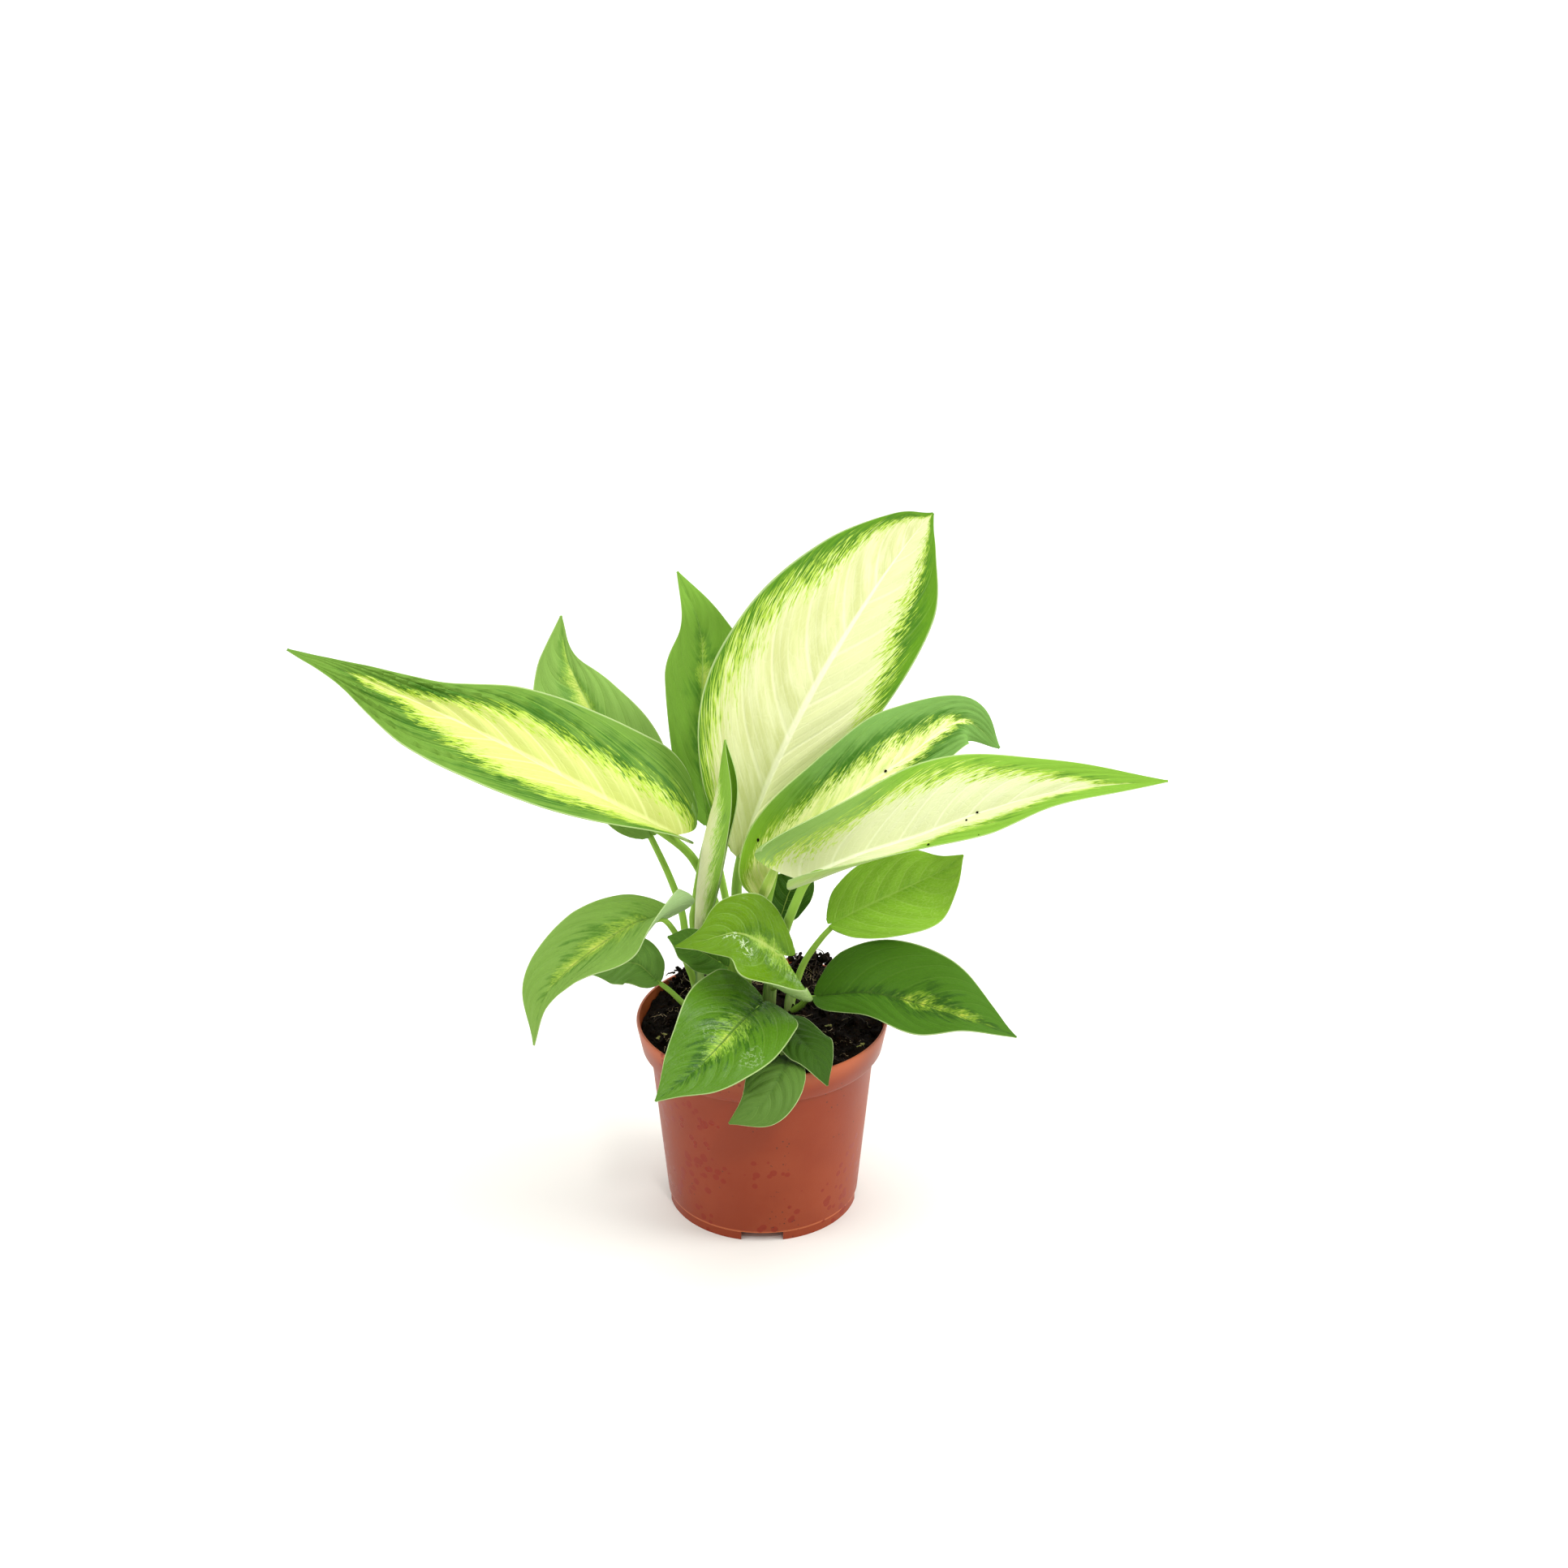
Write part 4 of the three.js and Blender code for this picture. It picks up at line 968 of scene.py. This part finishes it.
for seed, (node, ownValues) in enumerate(leaves.items()):
    makeLeaf(node, ownValues, seed + 1)
print("leaves made")


# Stems

stems = {
    "stem_left": {"line": [[-30, 7, 60], [-30, 7, 93], [-31, 8, 122]], "thick": [4.0, 3.0]},
    "stem_middle": {"line": [[-8, 17, 60], [-9, 17, 93], [-10, 15, 122]], "thick": [5.0, 4.2]},
    "stem_right": {"line": [[3, 17, 60], [3, 17, 93], [5, 15, 116]], "thick": [3.8, 3.0]},
    "stem_far_right": {"line": [[13, 13, 60], [13, 13, 93], [14, 13, 103]], "thick": [3.0, 2.4]},
    "stem_front": {"line": [[-2, -6, 60], [-2, -6, 93], [-1, -7, 104]], "thick": [3.4, 2.6]},
}
stemFinish = {
    "rings": 24, "sides": 24, "sharpAngle": 60, "streakAround": 500.0, "streakAlong": 40.0,
    "green": screenColor(104, 148, 58), "pale": screenColor(168, 196, 110),
    "earth": screenColor(92, 84, 44), "earthTop": 104, "earthFull": 93, "earthShare": 0.6,
    "roughness": (0.38, 0.55), "bump": (0.3, 0.0005),
}


def stemMaterial():
    material, tree, shader = newMaterial("stemSkin")
    place = objectPlace(tree)
    split = splitVector(tree, place)
    around, lengthwise = stemFinish["streakAround"], stemFinish["streakAlong"]
    stretched = packVector(tree, times(tree, split["X"], around),
                           times(tree, split["Y"], around),
                           times(tree, split["Z"], lengthwise))
    streaks = noiseAt(tree, stretched, 1.0, 4)
    color = blendColor(tree, spread(tree, streaks, 0.3, 0.7), stemFinish["green"], stemFinish["pale"])
    top, full = stemFinish["earthTop"] * mm, stemFinish["earthFull"] * mm
    earthy = spread(tree, split["Z"], top, full, 0.0, stemFinish["earthShare"])
    color = blendColor(tree, times(tree, earthy, streaks), color, stemFinish["earth"])
    join(tree, shader.inputs["Base Color"], color)
    join(tree, shader.inputs["Roughness"], spread(tree, streaks, 0.2, 0.8, *stemFinish["roughness"]))
    join(tree, shader.inputs["Normal"], bumpFrom(tree, streaks, *stemFinish["bump"]))
    return material


def makeStem(node, stem, material):
    bm = bmesh.new()
    bm.verts.layers.float.new("turn")
    rings = stemFinish["rings"]
    centres = [along(stem["line"], i / rings) for i in range(rings + 1)]
    radii = [mixed(stem["thick"][0], stem["thick"][1], i / rings) for i in range(rings + 1)]
    addTube(bm, centres, radii, stemFinish["sides"], {})
    bmesh.ops.recalc_face_normals(bm, faces=bm.faces)
    toMetres(bm)
    bm.verts.layers.float.remove(bm.verts.layers.float["turn"])
    finishPiece(pieceName(node), bm, material, [node], stemFinish["sharpAngle"])


stemSkin = stemMaterial()
for node, stem in stems.items():
    makeStem(node, stem, stemSkin)
print("stems made")


# Soil

soil = {
    "level": 93, "gap": 0.3, "rings": 80, "sectors": 200, "heaps": [[24, 40, 8, 11.4], [-34, 32, 5, 9.5]],
    "unevenness": 1.6, "reach": 56, "sharpAngle": 40,
    "coarseScale": 320, "fineScale": 1700,
    "specular": 0.06, "roughness": (0.55, 0.95), "bump": (1.0, 0.0015),
    "crumbs": 1500, "crumbSizes": (0.45, 1.2), "lumpSizes": (1.3, 2.5), "clumpSizes": (0.7, 1.9),
    "crumbRise": 0.25,
    "bits": 26, "bitLengths": (1.5, 4), "bitWidths": (0.8, 1.8), "bitThick": 0.35,
    "bitGreen": screenColor(96, 104, 40), "bitYellow": screenColor(150, 142, 74),
    "fibreSteps": 5, "fibreSides": 4, "fibreLengths": (3, 9), "clumpFibreThick": (0.25, 0.6),
    "onLeaves": [  # place and size of the crumbs that dropped on the leaves
        [(-1.5, 3.4, 187.5), 1.1], [(56.7, 10.2, 219.0), 0.9], [(91.0, -27.4, 211.1), 0.6],
        [(96.0, -24.0, 213.3), 0.6], [(73.6, -40.3, 205.1), 0.7], [(95.4, -40.7, 209.9), 0.4],
    ],
    "clumps": [  # stand above the rim at the back
        {"x": (13, 36), "y": (38, 45), "rise": 9, "lumps": 130, "fibres": 36},
        {"x": (-47, -32), "y": (27, 38), "rise": 8, "lumps": 70, "fibres": 14},
    ],
    "dark": screenColor(14, 9, 6), "brown": screenColor(44, 29, 19), "pale": screenColor(112, 90, 60),
}
fibres = {
    "paleRootHairs": {
        "count": 150, "thick": (0.08, 0.16),
        "inner": screenColor(150, 126, 92), "outer": screenColor(196, 176, 140),
    },
    "darkFibres": {
        "count": 150, "thick": (0.12, 0.35),
        "inner": screenColor(24, 15, 10), "outer": screenColor(56, 38, 25),
    },
}


def soilHeight(x, y):  # heaps, gentle humps and a crumbly top
    heaps = sum(height * math.exp(-((x - cx) ** 2 + (y - cy) ** 2) / (2 * wide ** 2))
                for cx, cy, height, wide in soil["heaps"])
    lumps = 0.9 * math.sin(x * 0.31) * math.cos(y * 0.27) + 0.7 * math.sin(x * 0.17 + y * 0.43)
    point = Vector((x, y, 0))
    crumbly = noise.fractal(point * 0.12, 0.6, 2.1, 5) * 1.1 + abs(noise.noise(point * 0.45)) * 1.4
    return soil["level"] + heaps + lumps + soil["unevenness"] * (crumbly - 0.4)


def soilMaterial():
    material, tree, shader = newMaterial("darkPeat", Specular_IOR_Level=soil["specular"])
    place = objectPlace(tree)
    coarse = noiseAt(tree, place, soil["coarseScale"], 6, 0.7)
    fine = noiseAt(tree, place, soil["fineScale"], 3)
    color = blendColor(tree, spread(tree, coarse, 0.46, 0.74), soil["dark"], soil["brown"])
    color = blendColor(tree, times(tree, spread(tree, fine, 0.66, 0.76), 0.45), color, soil["pale"])
    join(tree, shader.inputs["Base Color"], color)
    join(tree, shader.inputs["Roughness"], spread(tree, coarse, 0.3, 0.7, *soil["roughness"]))
    height = plus(tree, coarse, times(tree, fine, 0.4))
    join(tree, shader.inputs["Normal"], bumpFrom(tree, height, *soil["bump"]))
    return material


peat = soilMaterial()


def makeSoil():
    bm = bmesh.new()
    inside = [(radius - soil["gap"], height + soil["gap"]) for radius, height in potInside()]
    (ledge, ledgeHeight), (rim, rimHeight) = inside[-2:]
    edge = mixed(ledge, rim, (soil["level"] - soil["unevenness"] - ledgeHeight) / (rimHeight - ledgeHeight))
    bm.verts.new((0, 0, 0))
    for k in range(soil["rings"]):
        bm.verts.new(((k + 1) / soil["rings"] * edge, 0, 0))
    bm.verts.ensure_lookup_table()
    for a, b in zip(bm.verts[:-1], bm.verts[1:]):
        bm.edges.new((a, b))
    bmesh.ops.spin(bm, geom=bm.verts[:] + bm.edges[:], axis=(0, 0, 1), cent=(0, 0, 0), angle=math.tau,
                   steps=soil["sectors"], use_merge=True)
    bmesh.ops.remove_doubles(bm, verts=bm.verts, dist=1e-4)
    for vert in bm.verts:
        vert.co.z = soilHeight(vert.co.x, vert.co.y)
    border = [item for item in bm.edges if item.is_boundary]
    for radius, height in reversed(inside[:-1]):
        grown = bmesh.ops.extrude_edge_only(bm, edges=border)["geom"]
        lower = [item for item in grown if isinstance(item, bmesh.types.BMVert)]
        for vert in lower:
            flat = Vector((vert.co.x, vert.co.y)).normalized() * radius
            vert.co = Vector((flat.x, flat.y, height))
        border = [item for item in bm.edges if item.is_boundary]
    bmesh.ops.contextual_create(bm, geom=border)
    bmesh.ops.recalc_face_normals(bm, faces=bm.faces)
    toMetres(bm)
    finishPiece("peatSoil", bm, peat, ["soil"], 180)


def randomSpot(draw, reach):  # evenly spread over a disc
    angle, radius = draw.uniform(0, math.tau), reach * math.sqrt(draw.random())
    return radius * math.cos(angle), radius * math.sin(angle)


def keptInside(x, y, reach):
    far = max(1, math.hypot(x, y) / reach)
    return x / far, y / far


def heapSpot(draw, share):
    x, y, _, wide = draw.choice(soil["heaps"])
    away = randomSpot(draw, wide * share)
    return x + away[0], y + away[1]


def clumpSpot(draw, clump):
    return keptInside(draw.uniform(*clump["x"]), draw.uniform(*clump["y"]), soil["reach"] - 2)


def addLump(bm, draw, place, size):  # one uneven crumb
    lump = bmesh.ops.create_icosphere(bm, subdivisions=1, radius=size)["verts"]
    stretch = (draw.uniform(0.7, 1.4), draw.uniform(0.7, 1.3), draw.uniform(0.5, 1.0))
    bmesh.ops.scale(bm, vec=stretch, verts=lump)
    for vert in lump:
        vert.co *= draw.uniform(0.75, 1.25)
    angle = draw.uniform(0, math.tau)
    turn = Matrix.Rotation(angle, 4, (draw.random(), draw.random(), draw.random() + 0.1))
    bmesh.ops.transform(bm, matrix=Matrix.Translation(place) @ turn, verts=lump)


def makeCrumbs():  # lumps of peat, many small ones and fewer large, and more on the heaps
    draw = random.Random(11)
    bm = bmesh.new()
    for k in range(soil["crumbs"]):
        size = draw.uniform(*(soil["crumbSizes"] if k % 9 else soil["lumpSizes"]))
        x, y = randomSpot(draw, soil["reach"] - size)
        if k % 10 == 0:
            x, y = keptInside(*heapSpot(draw, 1), soil["reach"] - size)
        addLump(bm, draw, (x, y, soilHeight(x, y) + size * soil["crumbRise"]), size)
    for place, size in soil["onLeaves"]:
        addLump(bm, draw, place, size)
    for clump in soil["clumps"]:
        for _ in range(clump["lumps"]):
            x, y = clumpSpot(draw, clump)
            rise = clump["rise"] * draw.random() ** 1.6
            addLump(bm, draw, (x, y, soilHeight(x, y) + rise), draw.uniform(*soil["clumpSizes"]))
    toMetres(bm)
    finishPiece("peatCrumbs", bm, peat, (), soil["sharpAngle"])


def makeBits():  # small yellow-green bits of dead leaf lying on the soil
    draw = random.Random(23)
    material, tree, shader = newMaterial("deadLeafBits", Roughness=0.7)
    tone = noiseAt(tree, objectPlace(tree), 420, 3)
    color = blendColor(tree, spread(tree, tone, 0.35, 0.65), soil["bitGreen"], soil["bitYellow"])
    join(tree, shader.inputs["Base Color"], color)
    bm = bmesh.new()
    for _ in range(soil["bits"]):
        x, y = randomSpot(draw, soil["reach"] - 3)
        chip = bmesh.ops.create_cube(bm, size=1.0)["verts"]
        size = (draw.uniform(*soil["bitLengths"]), draw.uniform(*soil["bitWidths"]), soil["bitThick"])
        bmesh.ops.scale(bm, vec=size, verts=chip)
        turn = Matrix.Rotation(draw.uniform(0, math.tau), 4, "Z")
        tilt = Matrix.Rotation(draw.uniform(-0.5, 0.5), 4, "X")
        place = Matrix.Translation((x, y, soilHeight(x, y) + 0.5))
        bmesh.ops.transform(bm, matrix=place @ turn @ tilt, verts=chip)
    toMetres(bm)
    finishPiece("deadLeafBits", bm, material, (), soil["sharpAngle"])


def addFibre(bm, draw, place, rise, steep, thick):
    angle, length = draw.uniform(0, math.tau), draw.uniform(*soil["fibreLengths"])
    steps = soil["fibreSteps"]
    centres = []
    for i in range(steps + 1):
        t = i / steps
        x = place[0] + length * t * math.cos(angle + t * draw.uniform(-0.6, 0.6))
        y = place[1] + length * t * math.sin(angle + t * draw.uniform(-0.6, 0.6))
        x, y = keptInside(x, y, soil["reach"])
        lift = length * steep * math.sin(t * 2.2) + rise
        centres.append(Vector((x, y, soilHeight(x, y) + lift)))
    addTube(bm, centres, [thick * (1 - 0.6 * i / steps) for i in range(steps + 1)], soil["fibreSides"], {})


def makeFibres(name, kind, clumps, draw):  # lying on the soil and sticking out of it
    material, tree, shader = newMaterial(name + "Finish", Roughness=0.8)
    tone = noiseAt(tree, objectPlace(tree), 300, 3)
    color = blendColor(tree, spread(tree, tone, 0.3, 0.7), kind["inner"], kind["outer"])
    join(tree, shader.inputs["Base Color"], color)
    bm = bmesh.new()
    bm.verts.layers.float.new("turn")
    for k in range(kind["count"]):
        spot = randomSpot(draw, soil["reach"] - 3)
        onHeap = k % 4 == 0
        if onHeap:
            spot = heapSpot(draw, 0.8)
        steep = draw.uniform(0.2, 1.0) if onHeap else draw.uniform(-0.05, 0.2)
        addFibre(bm, draw, spot, 0.35, steep, draw.uniform(*kind["thick"]))
    for clump in clumps:
        for _ in range(clump["fibres"]):
            rise = clump["rise"] * draw.random()
            spot = clumpSpot(draw, clump)
            steep = draw.uniform(-0.2, 0.6)
            addFibre(bm, draw, spot, rise, steep, draw.uniform(*soil["clumpFibreThick"]))
    bmesh.ops.recalc_face_normals(bm, faces=bm.faces)
    toMetres(bm)
    bm.verts.layers.float.remove(bm.verts.layers.float["turn"])
    finishPiece(name, bm, material, (), soil["sharpAngle"])


makeSoil()
makeCrumbs()
makeBits()
fibreDraw = random.Random(5)
makeFibres("paleRootHairs", fibres["paleRootHairs"], [], fibreDraw)
makeFibres("darkFibres", fibres["darkFibres"], soil["clumps"], fibreDraw)
print("soil made")


# Stage, light and camera

stage = {
    "floor": 1.6,
    # near: a darker floor colour close to the plant, a painted shade that fades out towards tone
    "tone": screenColor(250, 250, 250), "near": screenColor(232, 230, 224), "paintedShadeReach": (0.08, 0.5),
    "front": 0.5, "back": 1.05, "below": 1.15,  # strengths of the room around
    "frontToBack": (-0.9, 0.4), "downwards": (0.0, -0.08), "aim": (0, 0, 0.15),
    "lamps": {  # place, size and power
        "softboxLeft": [(-1.3, -0.6, 1.3), 1.2, 12], "softboxRight": [(1.4, -0.2, 1.0), 1.0, 19],
        "softboxTop": [(0.1, 0.3, 1.9), 1.4, 12], "smallLamp": [(0.3, -0.95, 1.1), 0.16, 3.5],
    },
}
photoView = {  # metres and degrees, worked out from the rim's and the foot's ellipses in the photograph
    "place": (0.0104, -0.883, 0.585), "down": 26, "lens": 48.45, "sensor": 36, "shift": 0.0792,
}


def makeFloor():
    bm = bmesh.new()
    bmesh.ops.create_grid(bm, x_segments=1, y_segments=1, size=stage["floor"])
    mesh = bpy.data.meshes.new("floor")
    bm.to_mesh(mesh)
    bm.free()
    material, tree, shader = newMaterial("paleFloorPaintedShade", Roughness=0.9)
    length = tree.nodes.new("ShaderNodeVectorMath")
    length.operation = "LENGTH"
    join(tree, length.inputs[0], objectPlace(tree))
    # Painted shade: the floor darker close to the plant
    away = spread(tree, length.outputs["Value"], *stage["paintedShadeReach"])
    join(tree, shader.inputs["Base Color"], blendColor(tree, away, stage["near"], stage["tone"]))
    mesh.materials.append(material)
    floor = bpy.data.objects.new("floor", mesh)
    scene.collection.objects.link(floor)


def addLight(name, place, size, power):
    light = bpy.data.lights.new(name, "AREA")
    light.shape = "DISK"
    light.size = size
    light.energy = power
    lamp = bpy.data.objects.new(name, light)
    lamp.location = place
    lamp.rotation_euler = (Vector(stage["aim"]) - Vector(place)).to_track_quat("-Z", "Y").to_euler()
    scene.collection.objects.link(lamp)


def makeLight():
    world = bpy.data.worlds.new("softRoom")
    world.use_nodes = True
    tree = world.node_tree
    backdrop = tree.nodes["Background"]
    backdrop.inputs["Color"].default_value = (1.0, 1.0, 1.0, 1.0)
    split = splitVector(tree, tree.nodes.new("ShaderNodeTexCoord").outputs["Generated"])
    around = spread(tree, split["Y"], *stage["frontToBack"], stage["front"], stage["back"])
    below = spread(tree, split["Z"], *stage["downwards"])
    join(tree, backdrop.inputs["Strength"], spread(tree, below, 0.0, 1.0, around, stage["below"]))
    scene.world = world
    for name, (place, size, power) in stage["lamps"].items():
        addLight(name, place, size, power)


def addCamera():
    lens = bpy.data.cameras.new("photoCamera")
    lens.lens = photoView["lens"]
    lens.sensor_width = photoView["sensor"]
    lens.shift_y = photoView["shift"]
    camera = bpy.data.objects.new("photoCamera", lens)
    camera.location = photoView["place"]
    camera.rotation_euler = (math.radians(90 - photoView["down"]), 0, 0)
    scene.collection.objects.link(camera)
    scene.camera = camera


scene.view_settings.view_transform = "Standard"
makeFloor()
makeLight()
addCamera()
print("stage, light and camera made")
